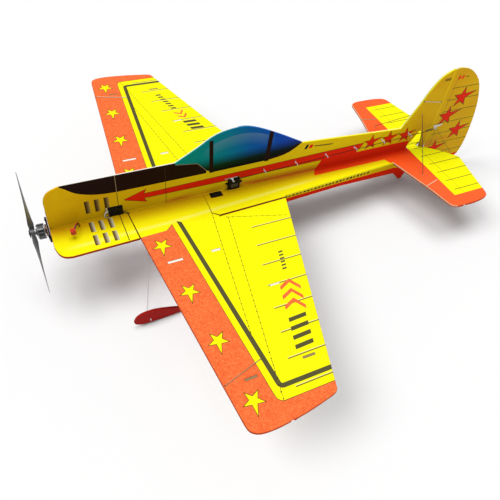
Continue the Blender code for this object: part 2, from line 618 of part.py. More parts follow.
def aileron_linkage():
    top = -SEAT
    bottom = top - SERVO_HEIGHT
    arm_z = bottom - GAP - ARM_THICK / 2 - ARM_CLEARANCE
    servo("aileron_servo", AILERON_SERVO_X, -SERVO_WIDTH / 2, SERVO_WIDTH / 2, bottom, top)
    servo_arm("aileron_servo_arm", arm_outline(AILERON_ARM, 0, double=True), (AILERON_SERVO_X, 0, arm_z),
              [circle((0, -AILERON_ARM), LINK_HOLE, 8), circle((0, AILERON_ARM), LINK_HOLE, 8)])
    tip = HALF_SHEET - AILERON_ARM
    hinge = hinge_x(AILERON_HORN_Y)
    for name, side in (("left", -1), ("right", 1)):
        start = Vector((AILERON_SERVO_X, side * AILERON_ARM, arm_z))
        end = Vector((hinge, side * (AILERON_HORN_Y - 2.2), tip))
        lead = (end - start).normalized() * ROD_LEAD
        pushrod(name + "_aileron_pushrod", [start + Vector((0, 0, ROD_START)), start - Vector((0, 0, ROD_TURN)),
                                            start + lead - Vector((0, 0, ROD_LEVEL)), end])
        low, high = sorted((side * (AILERON_HORN_Y - 0.8), side * (AILERON_HORN_Y + 0.8)))
        horn(name + "_aileron_horn", (hinge, HALF_SHEET), tip, low, high, "XZ")


# ---------------------------------------------------------------- electronics

def electronics():
    add_object("speed_controller", box((88, -5, SEAT), (109.8, 5, 16.8)), BLACK_PLASTIC)
    add_object("receiver", box((214, -11, -28), (246, -SEAT, -8)), BLACK_PLASTIC)
    low, high = Vector((122, 4.2, -36)), Vector((174, 16.2, -7))
    add_object("battery", box(low, high), BLUE_WRAP)
    inner = rectangle((low.y - GAP, low.z - GAP), (high.y + GAP, high.z + GAP))
    outer = rectangle((low.y - GAP - 1, low.z - GAP - 1), (high.y + GAP + 1, high.z + GAP + 1))
    add_object("battery_strap", slab(outer, 140, 156, "YZ", holes=[inner]), RUBBER)
    add_object("battery_connector", box((27, -33.2, 10.5), (34.5, -27.5, 18.5)), RED_PLASTIC)


nose_floor()
wing()
aileron("left_aileron", -1)
aileron("right_aileron", 1)
stabilizer()
elevator()
fuselage_top()
fuselage_bottom()
rudder()
strips_and_struts()
motor()
propeller()
landing_gear()
rudder_linkage()
elevator_linkage()
aileron_linkage()
electronics()
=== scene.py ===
"""Looks for the foam profile aeroplane: printed foam sheets, fittings, wires, studio and camera.

Frame: +X aft, +Y starboard, +Z up. Lengths are in millimetres from the nose end of the floor sheet,
at the middle of its thickness, unless a name ends in _M.
"""

import json
import math

import bmesh
import bpy
from mathutils import Matrix, Vector
from mathutils.geometry import delaunay_2d_cdt


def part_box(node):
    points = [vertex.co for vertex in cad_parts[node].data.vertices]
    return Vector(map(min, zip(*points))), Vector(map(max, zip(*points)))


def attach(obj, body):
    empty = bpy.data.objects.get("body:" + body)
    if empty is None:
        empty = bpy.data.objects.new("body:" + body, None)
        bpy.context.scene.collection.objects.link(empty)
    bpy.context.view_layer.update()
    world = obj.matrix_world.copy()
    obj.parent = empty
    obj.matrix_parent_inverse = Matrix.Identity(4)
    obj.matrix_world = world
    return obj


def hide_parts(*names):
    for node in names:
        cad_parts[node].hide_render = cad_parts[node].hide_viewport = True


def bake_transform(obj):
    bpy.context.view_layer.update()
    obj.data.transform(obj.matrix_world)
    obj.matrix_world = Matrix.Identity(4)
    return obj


MM = 0.001
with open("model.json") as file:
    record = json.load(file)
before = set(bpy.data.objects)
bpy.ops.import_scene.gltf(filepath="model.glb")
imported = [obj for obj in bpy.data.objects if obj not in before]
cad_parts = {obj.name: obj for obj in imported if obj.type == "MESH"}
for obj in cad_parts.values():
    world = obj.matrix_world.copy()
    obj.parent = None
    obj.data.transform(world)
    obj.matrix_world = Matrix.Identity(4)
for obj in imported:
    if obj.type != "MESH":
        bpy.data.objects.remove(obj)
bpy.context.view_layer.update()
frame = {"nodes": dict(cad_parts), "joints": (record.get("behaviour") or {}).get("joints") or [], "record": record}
NODES = frame["nodes"]
JOINTS = {j["name"]: j for j in frame["joints"]}
BODY_OF = {n: b for b, ns in frame["record"]["behaviour"]["bodies"].items() for n in ns}


def nose_point():
    """The nose end of the floor sheet, on the centreline, at the middle of the sheet."""
    low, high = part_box("nose_floor")
    return Vector((low.x, 0, (low.z + high.z) / 2))


NOSE_M = nose_point()


def box_mm(node):
    low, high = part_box(node)
    return (low - NOSE_M) / MM, (high - NOSE_M) / MM


def joint_mm(name):
    return (Vector(JOINTS[name]["pos_m"]) - NOSE_M) / MM


# ---- materials

class Nodes:
    """Short calls for building one material's node tree."""

    def __init__(self, name):
        self.material = bpy.data.materials.new(name)
        self.material.use_nodes = True
        self.tree = self.material.node_tree
        self.shader = self.tree.nodes["Principled BSDF"]
        coordinates = self.tree.nodes.new("ShaderNodeTexCoord")
        self.position = coordinates.outputs["Object"]

    def put(self, socket, value):
        """Links a socket to another node's output, or gives it a plain value."""
        if isinstance(value, bpy.types.NodeSocket):
            self.tree.links.new(value, socket)
        elif socket.type == "RGBA":
            socket.default_value = (*value, 1)
        else:
            socket.default_value = value

    def add(self, kind, inputs=(), **settings):
        node = self.tree.nodes.new("ShaderNode" + kind)
        for key, value in settings.items():
            setattr(node, key, value)
        for key, value in dict(inputs).items():
            self.put(node.inputs[key], value)
        return node

    def noise(self, scale, detail=2.0, position=None):
        inputs = {"Vector": position or self.position, "Scale": scale, "Detail": detail}
        return self.add("TexNoise", inputs).outputs["Fac"]

    def stretched(self, along):
        """The position with its X part shrunk, so that noise runs lengthwise."""
        return self.add("Mapping", {"Vector": self.position, "Scale": (along, 1, 1)}).outputs[0]

    def cells(self, scale, output, feature="F1"):
        made = self.add("TexVoronoi", {"Vector": self.position, "Scale": scale}, feature=feature)
        return made.outputs[output]

    def span(self, value, low, high, to_low=0.0, to_high=1.0):
        return self.add("MapRange", {0: value, 1: low, 2: high, 3: to_low, 4: to_high}).outputs[0]

    def math(self, operation, a, b=0.0):
        return self.add("Math", {0: a, 1: b}, operation=operation).outputs[0]

    def times(self, a, b):
        return self.math("MULTIPLY", a, b)

    def minus(self, a, b):
        return self.math("SUBTRACT", a, b)

    def size(self, value):
        return self.math("ABSOLUTE", value)

    def mix(self, share, a, b, blend="MIX"):
        inputs = {0: share, 6: a, 7: b}
        return self.add("Mix", inputs, data_type="RGBA", blend_type=blend).outputs[2]

    def ramp(self, value, stops):
        made = self.add("ValToRGB", {0: value})
        ramp = made.color_ramp
        while len(ramp.elements) < len(stops):
            ramp.elements.new(0.5)
        for element, (place, colour) in zip(ramp.elements, stops):
            element.position = place
            element.color = (*colour, 1)
        return made.outputs[0]

    def axis(self, index):
        return self.add("SeparateXYZ", {0: self.position}).outputs[index]

    def bump(self, height, strength):
        made = self.add("Bump", {"Height": height, "Strength": strength, "Distance": BUMP_DEPTH_M})
        self.put(self.shader.inputs["Normal"], made.outputs[0])

    def finish(self, colour, roughness, metallic=0.0, **extra):
        values = {"Base Color": colour, "Roughness": roughness, "Metallic": metallic, **extra}
        for key, value in values.items():
            self.put(self.shader.inputs[key], value)
        return self.material


BUMP_DEPTH_M = 0.0002
BOUNCE_GREY = 0.85
BEAD_SCALE = 420
PINHOLE_SCALE = 2600
CLOUD_SCALE = 14


def foam(name, colour, dark, speckle, paint=None, roughness=0.55):
    """Moulded bead foam: cell edges sunk, beads of slightly differing tone, fine pinholes.

    Light that has bounced off it is mostly grey, so white ground beside it stays neutral.
    """
    n = Nodes(name)
    edge = n.cells(BEAD_SCALE, "Distance", "DISTANCE_TO_EDGE")
    bead = n.cells(BEAD_SCALE, "Color")
    tone = n.span(n.add("SeparateColor", {0: bead}).outputs[0], 0, 1, 1 - speckle, 1.0)
    groove = n.span(edge, 0.0, 0.10, 1 - speckle, 1.0)
    pin = n.span(n.noise(PINHOLE_SCALE, 1), 0.36, 0.46, 1 - speckle, 1.0)
    cloud = n.span(n.noise(CLOUD_SCALE, 3), 0.3, 0.7, 0.97, 1.0)
    base = paint(n) if paint else n.mix(0.0, colour, colour)
    shade = n.times(n.times(tone, groove), n.times(pin, cloud))
    tinted = n.mix(shade, dark or tuple(0.35 * c for c in colour), base)
    bounced = n.add("LightPath").outputs["Is Diffuse Ray"]
    grey = 0.35 * sum(colour) / 3 + 0.15
    tinted = n.mix(n.times(bounced, BOUNCE_GREY), tinted, (grey, grey, grey))
    height = n.math("ADD", n.span(edge, 0, 0.16), n.span(n.noise(1500, 2), 0.3, 0.7, 0, 0.35))
    n.bump(height, 0.22)
    gloss = n.span(n.noise(300), 0.3, 0.7, roughness - 0.08, roughness + 0.1)
    return n.finish(tinted, gloss, **{"Specular IOR Level": 0.06})


def simple(name, colour, roughness, metallic=0.0, grain=900.0, strength=0.15, vary=0.25, **extra):
    """Moulded or turned surface with grain, mottled tone and uneven gloss."""
    n = Nodes(name)
    patches = n.span(n.noise(90, 4), 0.3, 0.7)
    tone = n.mix(patches, tuple(c * (1 - vary) for c in colour), colour)
    n.bump(n.noise(grain, 3), strength)
    uneven = n.span(n.noise(220, 3), 0.3, 0.7, max(0.05, roughness - 0.1), roughness + 0.1)
    return n.finish(tone, uneven, metallic, **extra)


# Places in metres from the nose point, for the materials.
CANOPY_X = (0.225, 0.415)
CANOPY_FOOT = (0.046, 0.074)
GLEAM_MIDDLE, GLEAM_HALF = 0.303, 0.060
GLEAM_TOP, GLEAM_DROP = 0.1095, 0.018


def canopy_paint(n):
    """Printed glass: green at the front to blue behind, near black at its foot, a pale gleam near the top."""
    x = n.span(n.axis(0), *CANOPY_X)
    glass = n.ramp(x, [(0.0, (0.0, 0.32, 0.25)), (0.28, (0.0, 0.24, 0.33)), (0.5, (0.0, 0.13, 0.43)),
                       (0.8, (0.005, 0.075, 0.52)), (1.0, (0.02, 0.07, 0.50))])
    low = n.minus(n.axis(2), n.times(x, 0.008))
    foot = [(0.0, (0.0, 0.0, 0.0)), (0.35, (0.0, 0.12, 0.01)), (1.0, (1, 1, 1))]
    painted = n.mix(1.0, glass, n.ramp(n.span(low, *CANOPY_FOOT), foot), "MULTIPLY")
    along = n.math("DIVIDE", n.minus(n.axis(0), GLEAM_MIDDLE), GLEAM_HALF)
    below = n.minus(GLEAM_TOP, n.times(n.times(along, along), GLEAM_DROP))
    depth = n.minus(below, n.axis(2))
    fade = n.times(n.span(depth, 0.0, 0.022, 0.42, 0.0), n.span(depth, -0.0006, 0.0006))
    fade = n.times(fade, n.span(n.size(along), 0.7, 1.05, 1.0, 0.0))
    return n.mix(fade, painted, (0.20, 0.36, 0.46))


LOUVRE_X, LOUVRE_PITCH, LOUVRE_WIDTH = 55.6, 14.3, 7.2


def louvre_paint(n):
    """Dark at each louvre's front edge, fading to a pale rear edge; darker on the upright side than on the floor,
    which is painted shade.
    """
    place = n.math("MODULO", n.minus(n.axis(0), LOUVRE_X * MM), LOUVRE_PITCH * MM)
    share = n.span(place, 0, LOUVRE_WIDTH * MM)
    on_side_shaded = n.ramp(share, [(0.0, (0.03, 0.012, 0.0)), (0.4, (0.12, 0.06, 0.01)), (1.0, (0.50, 0.32, 0.07))])
    on_floor = n.ramp(share, [(0.0, (0.05, 0.02, 0.0)), (0.4, (0.22, 0.14, 0.05)), (1.0, (0.72, 0.68, 0.46))])
    return n.mix(n.math("GREATER_THAN", n.size(n.axis(1)), 0.003), on_side_shaded, on_floor)


# The painted highlight runs aft along two straight lines, each given as its distance from the centreline and its
# slope.
HIGHLIGHT_AHEAD, HIGHLIGHT_BEHIND = (0.04985, 0.0252), (0.04540, 0.0726)
HIGHLIGHT_BREAK_X, HIGHLIGHT_REACH = 0.177, 0.0065


def body_yellow_paint(n):
    """Yellow darkened to gold beside the centreline, a painted shadow of the upright sheet, with a soft pale band
    nearer the floor's edge, a painted highlight.
    """
    across = n.size(n.axis(1))
    # Painted shadow: gold where the upright sheet shades the floor, fading to yellow outwards.
    gold = n.ramp(n.span(across, 0.0, 0.060), [(0.0, (0.66, 0.34, 0.0)), (0.25, (0.80, 0.50, 0.0)),
                                               (0.55, (1.0, 0.86, 0.0)), (1.0, (1.0, 0.95, 0.0))])
    streaks = n.span(n.noise(22, 4, n.stretched(0.16)), 0.56, 0.66)
    near_side = n.span(across, 0.002, 0.014, 0.7, 0.0)
    gold = n.mix(n.times(streaks, near_side), gold, (0.85, 0.16, 0.01))
    # The pale band along the floor's edge is a painted highlight.
    ahead = n.minus(HIGHLIGHT_AHEAD[0], n.times(n.axis(0), HIGHLIGHT_AHEAD[1]))
    behind = n.minus(HIGHLIGHT_BEHIND[0], n.times(n.minus(n.axis(0), HIGHLIGHT_BREAK_X), HIGHLIGHT_BEHIND[1]))
    off = n.size(n.minus(across, n.math("MINIMUM", ahead, behind)))
    highlight = n.span(off, 0.0, HIGHLIGHT_REACH, 1.0, 0.0)
    ends = n.times(n.span(n.axis(0), 0.012, 0.04), n.span(n.axis(0), 0.40, 0.46, 1.0, 0.0))
    share = n.times(n.times(highlight, highlight), n.times(ends, 0.4))
    return n.mix(share, gold, (1.0, 1.0, 0.30))


def yellow_paint(n):
    """Bright yellow with sparse brownish specks, thicker near the wing root."""
    across = n.size(n.axis(1))
    limit = n.span(across, 0.05, 0.30, 0.665, 0.74)
    specks = n.math("GREATER_THAN", n.noise(620, 1), limit)
    return n.mix(n.times(specks, 0.45), (1.0, 0.97, 0.0), (0.55, 0.33, 0.0))


def side_gold_shade_paint(n):
    """The upright sheets' yellow print, deepened to deep gold as painted shade, lighter along the middle of the
    sheet's length, mottled, with faint rust-coloured smears low on the sheet.
    """
    patches = n.span(n.noise(16, 4), 0.35, 0.65)
    gold = n.mix(patches, (0.86, 0.45, 0.0), (0.92, 0.57, 0.0))
    middle = n.times(n.span(n.axis(0), 0.12, 0.24), n.span(n.axis(0), 0.58, 0.68, 1.0, 0.0))
    gold = n.mix(middle, gold, (1.0, 0.69, 0.0))
    streaks = n.span(n.noise(20, 4, n.stretched(0.2)), 0.50, 0.60)
    low = n.span(n.size(n.axis(2)), 0.003, 0.016, 0.95, 0.0)
    return n.mix(n.times(streaks, low), gold, (0.80, 0.14, 0.01))


def tail_paint(n):
    """Orange that deepens to red beside the fuselage."""
    across = n.size(n.axis(1))
    return n.ramp(n.span(across, 0.002, 0.10), [(0.0, (0.80, 0.010, 0.0)), (0.2, (1.0, 0.08, 0.006)),
                                                (0.5, (1.0, 0.115, 0.020)), (1.0, (1.0, 0.14, 0.032))])


# For each foam its colour, the tone of its grooves, how much its beads differ, and its paint.
FOAMS = {
    "yellow": ((1.0, 0.96, 0.0), (0.80, 0.50, 0.0), 0.05, yellow_paint),
    "body": ((1.0, 0.9, 0.0), (0.5, 0.3, 0.0), 0.06, body_yellow_paint),
    # side: the upright sheets' yellow print, deepened to gold as painted shade.
    "side": ((0.86, 0.48, 0.0), (0.4, 0.18, 0.0), 0.04, side_gold_shade_paint),
    "orange": ((1.0, 0.235, 0.06), (0.70, 0.05, 0.01), 0.45),
    "tail": ((1.0, 0.09, 0.01), (0.55, 0.02, 0.0), 0.12, tail_paint),
    "red": ((1.0, 0.022, 0.0), (0.7, 0.02, 0.0), 0.10),
    # pant: the red foam of the wheel pants, darkened as painted shade.
    "pant": ((0.42, 0.012, 0.008), (0.15, 0.0, 0.0), 0.08),
    "canopy": ((0.0, 0.1, 0.3), (0.0, 0.02, 0.05), 0.05, canopy_paint),
    "louvre": ((0.2, 0.15, 0.1), None, 0.04, louvre_paint),
    # The glue beads' gold is the same painted shade.
    "edge_gold_shade": ((0.85, 0.50, 0.0), None, 0.05, side_gold_shade_paint),
    # edge_yellow, edge_orange and edge_red: the yellow, orange and red prints darkened for upright rims, painted
    # shade.
    "edge_yellow": ((0.62, 0.42, 0.0), None, 0.1),
    "edge_orange": ((0.62, 0.07, 0.012), None, 0.1),
    "edge_red": ((0.45, 0.05, 0.01), None, 0.1),
    "edge_dark": ((0.10, 0.03, 0.005), None, 0.1),
    "edge_pale": ((0.95, 0.90, 0.35), None, 0.05),
    "edge_cream": ((0.95, 0.60, 0.36), None, 0.05),
    "edge_bright": ((1.0, 0.90, 0.0), None, 0.05),
    "edge_blue": ((0.25, 0.42, 0.66), None, 0.05),
}
PRINTS = {
    "black": (0.014, 0.002, 0.002), "stripe": (0.10, 0.09, 0.03), "line": (0.22, 0.15, 0.01),
    "dark_line": (0.06, 0.03, 0.01), "tan": (0.32, 0.24, 0.12), "cream": (0.93, 0.91, 0.80),
    "outline": (0.035, 0.012, 0.004),
}
INK = {name: foam("foam_" + name, *look) for name, look in FOAMS.items()}
INK |= {name: foam("print_" + name, colour, None, 0.06, roughness=0.5) for name, colour in PRINTS.items()}
INK_ORDER = list(INK)


# ---- flat outlines

def arc(centre, radius, start, end, steps=6):
    angles = [math.radians(start + (end - start) * i / steps) for i in range(steps + 1)]
    return [(centre[0] + radius * math.cos(a), centre[1] + radius * math.sin(a)) for a in angles]


def curve(points, steps=4):
    """Catmull-Rom curve through the points."""
    ends = [points[0], *points, points[-1]]
    made = []
    for a, b, c, d in zip(ends, ends[1:], ends[2:], ends[3:]):
        for i in range(steps):
            t = i / steps
            made.append(tuple(0.5 * (2 * q + (r - p) * t + (2 * p - 5 * q + 4 * r - s) * t * t
                                     + (3 * q - p - 3 * r + s) * t ** 3) for p, q, r, s in zip(a, b, c, d)))
    return made + [points[-1]]


def stroke(points, width):
    """Outlines of a line of some width along the points, one four-sided piece for each stretch."""
    made = []
    for a, b in zip(points, points[1:]):
        along = Vector(b) - Vector(a)
        if along.length < 1e-6:
            continue
        across = Vector((-along.y, along.x)).normalized() * width / 2
        made.append([tuple(Vector(a) - across), tuple(Vector(b) - across),
                     tuple(Vector(b) + across), tuple(Vector(a) + across)])
    return made


def band(points, width):
    """One outline of even width along the points, mitred at the bends."""
    left, right = [], []
    for i, p in enumerate(points):
        p = Vector(p)
        before = (p - Vector(points[i - 1])).normalized() if i else None
        after = (Vector(points[i + 1]) - p).normalized() if i + 1 < len(points) else None
        along = ((before or after) + (after or before)).normalized()
        across = Vector((-along.y, along.x))
        reach = width / 2
        if before and after:
            reach /= max(0.5, across.dot(Vector((-after.y, after.x))))
        left.append(tuple(p + across * reach))
        right.append(tuple(p - across * reach))
    return left + right[::-1]


def dots(a, b, pitch, size):
    """A row of small five-sided dots from a to b."""
    a, b = Vector(a), Vector(b)
    count = max(1, int((b - a).length / pitch))
    made = []
    for i in range(count + 1):
        centre = a + (b - a) * i / count
        made.append(arc(centre, size, 0, 360, 5)[:-1])
    return made


def star(centre, radius, turn, stretch):
    """A five-pointed star; the arm that points along turn, in degrees, is longer."""
    made = []
    for i in range(10):
        angle = math.radians(turn + 36 * i)
        reach = radius if i % 2 == 0 else radius * 0.40
        if i == 0:
            reach *= stretch
        made.append((centre[0] + reach * math.cos(angle), centre[1] + reach * math.sin(angle)))
    return made


def rectangle(left, right, low, high):
    return [(left, low), (right, low), (right, high), (left, high)]


def flipped(outline, side):
    """The outline on one side of the centreline: -1 for port, 1 for starboard."""
    return [(x, side * y) for x, y in outline]


# A layer of print is a pair (outline, ink). A later layer covers an earlier one.

def both_sides(layers):
    return [(flipped(outline, side), ink) for side in (-1, 1) for outline, ink in layers]


def lined(points, width, ink):
    return [(line, ink) for line in stroke(points, width)]


def seam(points, width, ink, pitch, size, dot_ink):
    """A thin line with a row of dots on it."""
    layers = lined(points, width, ink)
    for a, b in zip(points, points[1:]):
        layers += [(dot, dot_ink) for dot in dots(a, b, pitch, size)]
    return layers


def star_layers(centre, radius, rim, turn, stretch, ink):
    """A star with a dark rim of some width at its points."""
    sizes = ((radius + rim, "outline"), (radius, ink))
    return [(star(centre, size, turn, stretch), colour) for size, colour in sizes]


# ---- printed foam sheets

ROUND_RADIUS = 0.5
ROUND_TURNS = (30, 60, 90)
SHARPEST = 0.45                  # keeps a mitre at a sharp corner from running far out
LEFT_RIGHT = {-1: "left", 1: "right"}
PORT_STARBOARD = {-1: "port", 1: "starboard"}

def rim_loops(node, axis, level):
    """Closed outlines, in millimetres, of a CAD sheet's flat face at one level along an axis."""
    mesh = NODES[node].data
    keys = []
    for v in mesh.vertices:
        keys.append(tuple(round(c, 2) for c in (v.co - NOSE_M) / MM))
    count = {}
    for face in mesh.polygons:
        corner = [keys[i] for i in face.vertices]
        if all(abs(c[axis] - level) < 0.05 for c in corner):
            for a, b in zip(corner, corner[1:] + corner[:1]):
                count[(a, b)] = count.get((a, b), 0) + 1
    following = {a: b for (a, b) in count if (b, a) not in count and a != b}
    loops = []
    while following:
        start = next(iter(following))
        loop = [start]
        step = following.pop(start)
        while step != start:
            loop.append(step)
            step = following.pop(step)
        loops.append(loop)
    return loops


def area(loop):
    return sum(a[0] * b[1] - b[0] * a[1] for a, b in zip(loop, loop[1:] + loop[:1])) / 2


def sheet_rims(node, plane, level):
    """A flat sheet's rims in its plane: the outer one first, anticlockwise, then the openings, clockwise."""
    axis = 2 if plane == "XY" else 1
    rims = [[(p[0], p[3 - axis]) for p in loop] for loop in rim_loops(node, axis, level)]
    rims.sort(key=lambda loop: -abs(area(loop)))
    return [loop if (area(loop) > 0) == (loop is rims[0]) else loop[::-1] for loop in rims]


def corner_left(before, p, after):
    """The way to the left of a corner, as long as it takes to shift both its sides by one."""
    a = (Vector(p) - Vector(before)).normalized()
    b = (Vector(after) - Vector(p)).normalized()
    left = Vector((-a.y - b.y, a.x + b.x))
    if left.length < 1e-6:
        left = Vector((-b.y, b.x))
    left.normalize()
    return left / max(SHARPEST, left.dot(Vector((-b.y, b.x))))


def inset(loop, distance):
    """The loop moved to its left by a distance; left is inwards for a loop that runs anticlockwise."""
    neighbours = zip(loop[-1:] + loop[:-1], loop, loop[1:] + loop[:1])
    return [tuple(Vector(p) + corner_left(before, p, after) * distance) for before, p, after in neighbours]


def inside(points, loop):
    """Whether each point lies in the loop, by counting crossings."""
    edges = [(a, b) for a, b in zip(loop, loop[1:] + loop[:1]) if a[1] != b[1]]
    low, high = min(p[1] for p in loop), max(p[1] for p in loop)
    left, right = min(p[0] for p in loop), max(p[0] for p in loop)
    result = []
    for x, y in points:
        hit = False
        if low <= y <= high and left <= x <= right:
            for (ax, ay), (bx, by) in edges:
                if (ay > y) != (by > y) and x < ax + (y - ay) * (bx - ax) / (by - ay):
                    hit = not hit
        result.append(hit)
    return result


def painted(points, layers, base):
    """The ink of each point: the last layer that holds it, or the base."""
    inks = [base] * len(points)
    for outline, ink in layers:
        for i, hit in enumerate(inside(points, outline)):
            if hit:
                inks[i] = ink
    return inks


def covering(rims, outlines):
    """Triangles that fill the rims and follow every outline: flat points, corner numbers and centres."""
    points, edges = [], []
    for loop in rims + outlines:
        first = len(points)
        points += [Vector(p) for p in loop]
        edges += [(first + i, first + (i + 1) % len(loop)) for i in range(len(loop))]
    points, edges, triangles = delaunay_2d_cdt(points, edges, [], 0, 1e-4)[:3]
    centres = [tuple((points[a] + points[b] + points[c]) / 3) for a, b, c in triangles]
    keep = inside(centres, rims[0])
    for opening in rims[1:]:
        keep = [k and not hit for k, hit in zip(keep, inside(centres, opening))]
    kept = [(t, c) for t, c, k in zip(triangles, centres, keep) if k]
    return points, [t for t, c in kept], [c for t, c in kept]


def spot(plane, level, u, v, rise):
    """The point at (u, v) in a sheet's plane and rise outwards from its near face, which is at level."""
    return Vector((u, v, level + rise) if plane == "XY" else (u, level - rise, v))


def aft_normal(start, end):
    """The unit normal of a line that points aft."""
    along = (end - start).normalized()
    normal = Vector((along.y, -along.x))
    return -normal if normal.x < 0 else normal


def hinge_cut(p, hinge, share):
    """The point moved aft where it lies near a hinge line: share is 0 at the near face, 1 at the far face."""
    if hinge is None:
        return p
    start, end, reach = Vector(hinge[0]), Vector(hinge[1]), hinge[2]
    normal = aft_normal(start, end)
    offset = (Vector(p) - start).dot(normal)
    if offset >= 2 * reach:
        return p
    return Vector(p) + normal * reach * share * (1 - max(offset, 0) / (2 * reach))


def add_piece(name, built, materials, body=None):
    """The built mesh as a new piece at the nose point; it rides on the body if one is given."""
    bmesh.ops.recalc_face_normals(built, faces=built.faces)
    mesh = bpy.data.meshes.new(name)
    built.to_mesh(mesh)
    built.free()
    for material in materials:
        mesh.materials.append(material)
    piece = bpy.data.objects.new(name, mesh)
    piece.location = NOSE_M
    bpy.context.scene.collection.objects.link(piece)
    if body:
        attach(piece, body)
    return piece


def lofted(name, rings, material, body="airframe", smooth=True):
    """A closed piece through rings of points in millimetres, all with the same number of points."""
    built = bmesh.new()
    rings = [[built.verts.new(Vector(p) * MM) for p in ring] for ring in rings]
    for a, b in zip(rings, rings[1:]):
        for k in range(len(a)):
            n = (k + 1) % len(a)
            built.faces.new([a[k], a[n], b[n], b[k]]).smooth = smooth
    built.faces.new(rings[0][::-1])
    built.faces.new(rings[-1])
    return add_piece(name, built, [material], body)


# Each print's rim ink is the print darkened as painted shade on the upright rim.
SHADED_RIM_INKS = {"orange": "edge_orange", "tail": "edge_orange", "yellow": "edge_yellow", "body": "edge_yellow",
            "red": "edge_red"}


def printed_edge(point, out, ink):
    """The print wraps over the rim in an ink a little darker than the face beside it; the darkening is painted
    shade on the upright rim.
    """
    return SHADED_RIM_INKS.get(ink, "edge_dark")


def foam_sheet(node, plane, near, far, near_base, far_base, edge=printed_edge, hinge=None):
    """Rebuilds one CAD sheet as a printed foam piece with softly rounded edges.

    near and far are the layers of the face that shows most and of the other face.
    edge is a function of a rim point, its outward direction and the ink beside it, giving the rim's ink
    or a pair of inks, for the near and the far half of the rim.
    hinge is (start, end, reach): the far face's front edge is cut back by reach from that line.
    """
    low, high = box_mm(node)
    level, depth = (high.z, high.z - low.z) if plane == "XY" else (low.y, high.y - low.y)
    rims = [inset(loop, ROUND_RADIUS) for loop in sheet_rims(node, plane, level)]
    points, triangles, centres = covering(rims, [outline for outline, ink in near + far])
    built = bmesh.new()

    def vertex(p, w):
        """A vertex at a depth w from the near face, cut back if it lies by the hinge."""
        return built.verts.new(spot(plane, level, *hinge_cut(p, hinge, w / depth), -w) * MM)

    used = sorted({i for t in triangles for i in t})
    near_verts = {i: vertex(points[i], 0) for i in used}
    far_verts = {i: vertex(points[i], depth) for i in used}
    beside = {}
    inks = zip(painted(centres, near, near_base), painted(centres, far, far_base))
    for (a, b, c), (near_ink, far_ink) in zip(triangles, inks):
        order = (a, b, c) if area([points[a], points[b], points[c]]) > 0 else (a, c, b)
        face = built.faces.new([near_verts[i] for i in order])
        face.material_index = INK_ORDER.index(near_ink)
        face = built.faces.new([far_verts[i] for i in reversed(order)])
        face.material_index = INK_ORDER.index(far_ink)
        for e in zip(order, order[1:] + order[:1]):
            beside[e] = near_ink

    rim = [e for e in beside if (e[1], e[0]) not in beside]
    after = dict(rim)
    before = {b: a for a, b in rim}
    turns = [math.radians(t) for t in ROUND_TURNS]
    corner = [(ROUND_RADIUS * math.sin(t), ROUND_RADIUS * (1 - math.cos(t))) for t in turns]
    steps = corner + [(ROUND_RADIUS, depth / 2)] + [(reach, depth - w) for reach, w in reversed(corner)]
    rings = {}
    for i in after:
        out = -corner_left(points[before[i]], points[i], points[after[i]])
        side = [vertex(points[i] + out * reach, w) for reach, w in steps]
        rings[i] = [near_verts[i], *side, far_verts[i]]
    for a, b in rim:
        along = (points[b] - points[a]).normalized()
        ink = edge((points[a] + points[b]) / 2, Vector((along.y, -along.x)), beside[(a, b)])
        upper, lower = ink if isinstance(ink, tuple) else (ink, ink)
        for k in range(len(steps) + 1):
            face = built.faces.new([rings[a][k], rings[a][k + 1], rings[b][k + 1], rings[b][k]])
            face.material_index = INK_ORDER.index(upper if k <= len(corner) else lower)
            face.smooth = True
    piece = add_piece(node + "_foam", built, INK.values(), BODY_OF[node])
    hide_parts(node)


# ---- the printed pattern

WING_STAR_CENTRES = ((145.4, 88), (154.6, 181.6), (162, 268.4), (170.4, 359.5))
STAR_TURN = -98.5
RIB_FIRST_Y, RIB_PITCH = 98, 37.8
RIB_START_X, LAST_RIB_START_X = 288.3, 226
PAST_TRAILING_EDGE = 400
TAIL_RIB_PITCH = 24.7
FLASH_ALONG = Vector((0.27, -0.963)).normalized()
FIN_ROW = Vector((690, 142)), Vector((1, 0))
DECK_ROW = Vector((425, 54)), Vector((1, -0.08)).normalized()


def on_row(origin, along, corners):
    """Points given by their distance along a row and their height over it."""
    across = Vector((-along.y, along.x))
    return [tuple(origin + along * t + across * h) for t, h in corners]


def leaning_bar(origin, along, start, width, low, high):
    """A bar across the row from origin in the direction along; it leans forward by a third of its height."""
    lean = 0.33 * (high - low)
    corners = ((start, low), (start + width, low), (start + width + lean, high), (start + lean, high))
    return on_row(origin, along, corners)


def chevron(origin, along, start, width, thick, low, high):
    """An arrowhead-shaped band that points along the row."""
    middle = (low + high) / 2
    corners = ((start, low), (start + thick, low), (start + thick + width, middle), (start + thick, high),
               (start, high), (start + width, middle))
    return on_row(origin, along, corners)


# For each side the start of the row, then (shape, ink, count, start, pitch, the shape's own sizes).
FLASHES = {
    -1: ((259, 313),
         (leaning_bar, "stripe", 4, -6, 14, (6.5, -7, 19)),
         (chevron, "orange", 3, 56, 17, (13, 7, -8, 22)),
         (leaning_bar, "stripe", 6, 127, 6.5, (3, 2, 9))),
    1: ((262, 309),
        (leaning_bar, "stripe", 7, 0, 9, (4.5, -4, 6)),
        (chevron, "orange", 2, 70, 13, (9, 5, -8, 12)),
        (leaning_bar, "stripe", 3, 104, 12, (7, -10, 14))),
}


def aileron_flash(side):
    """A plain decoration along the aileron: leaning bars, chevrons and a row of short dashes."""
    origin, *rows = FLASHES[side]
    layers = []
    for shape, ink, count, start, pitch, sizes in rows:
        layers += [(shape(Vector(origin), FLASH_ALONG, start + pitch * i, *sizes), ink) for i in range(count)]
    return layers


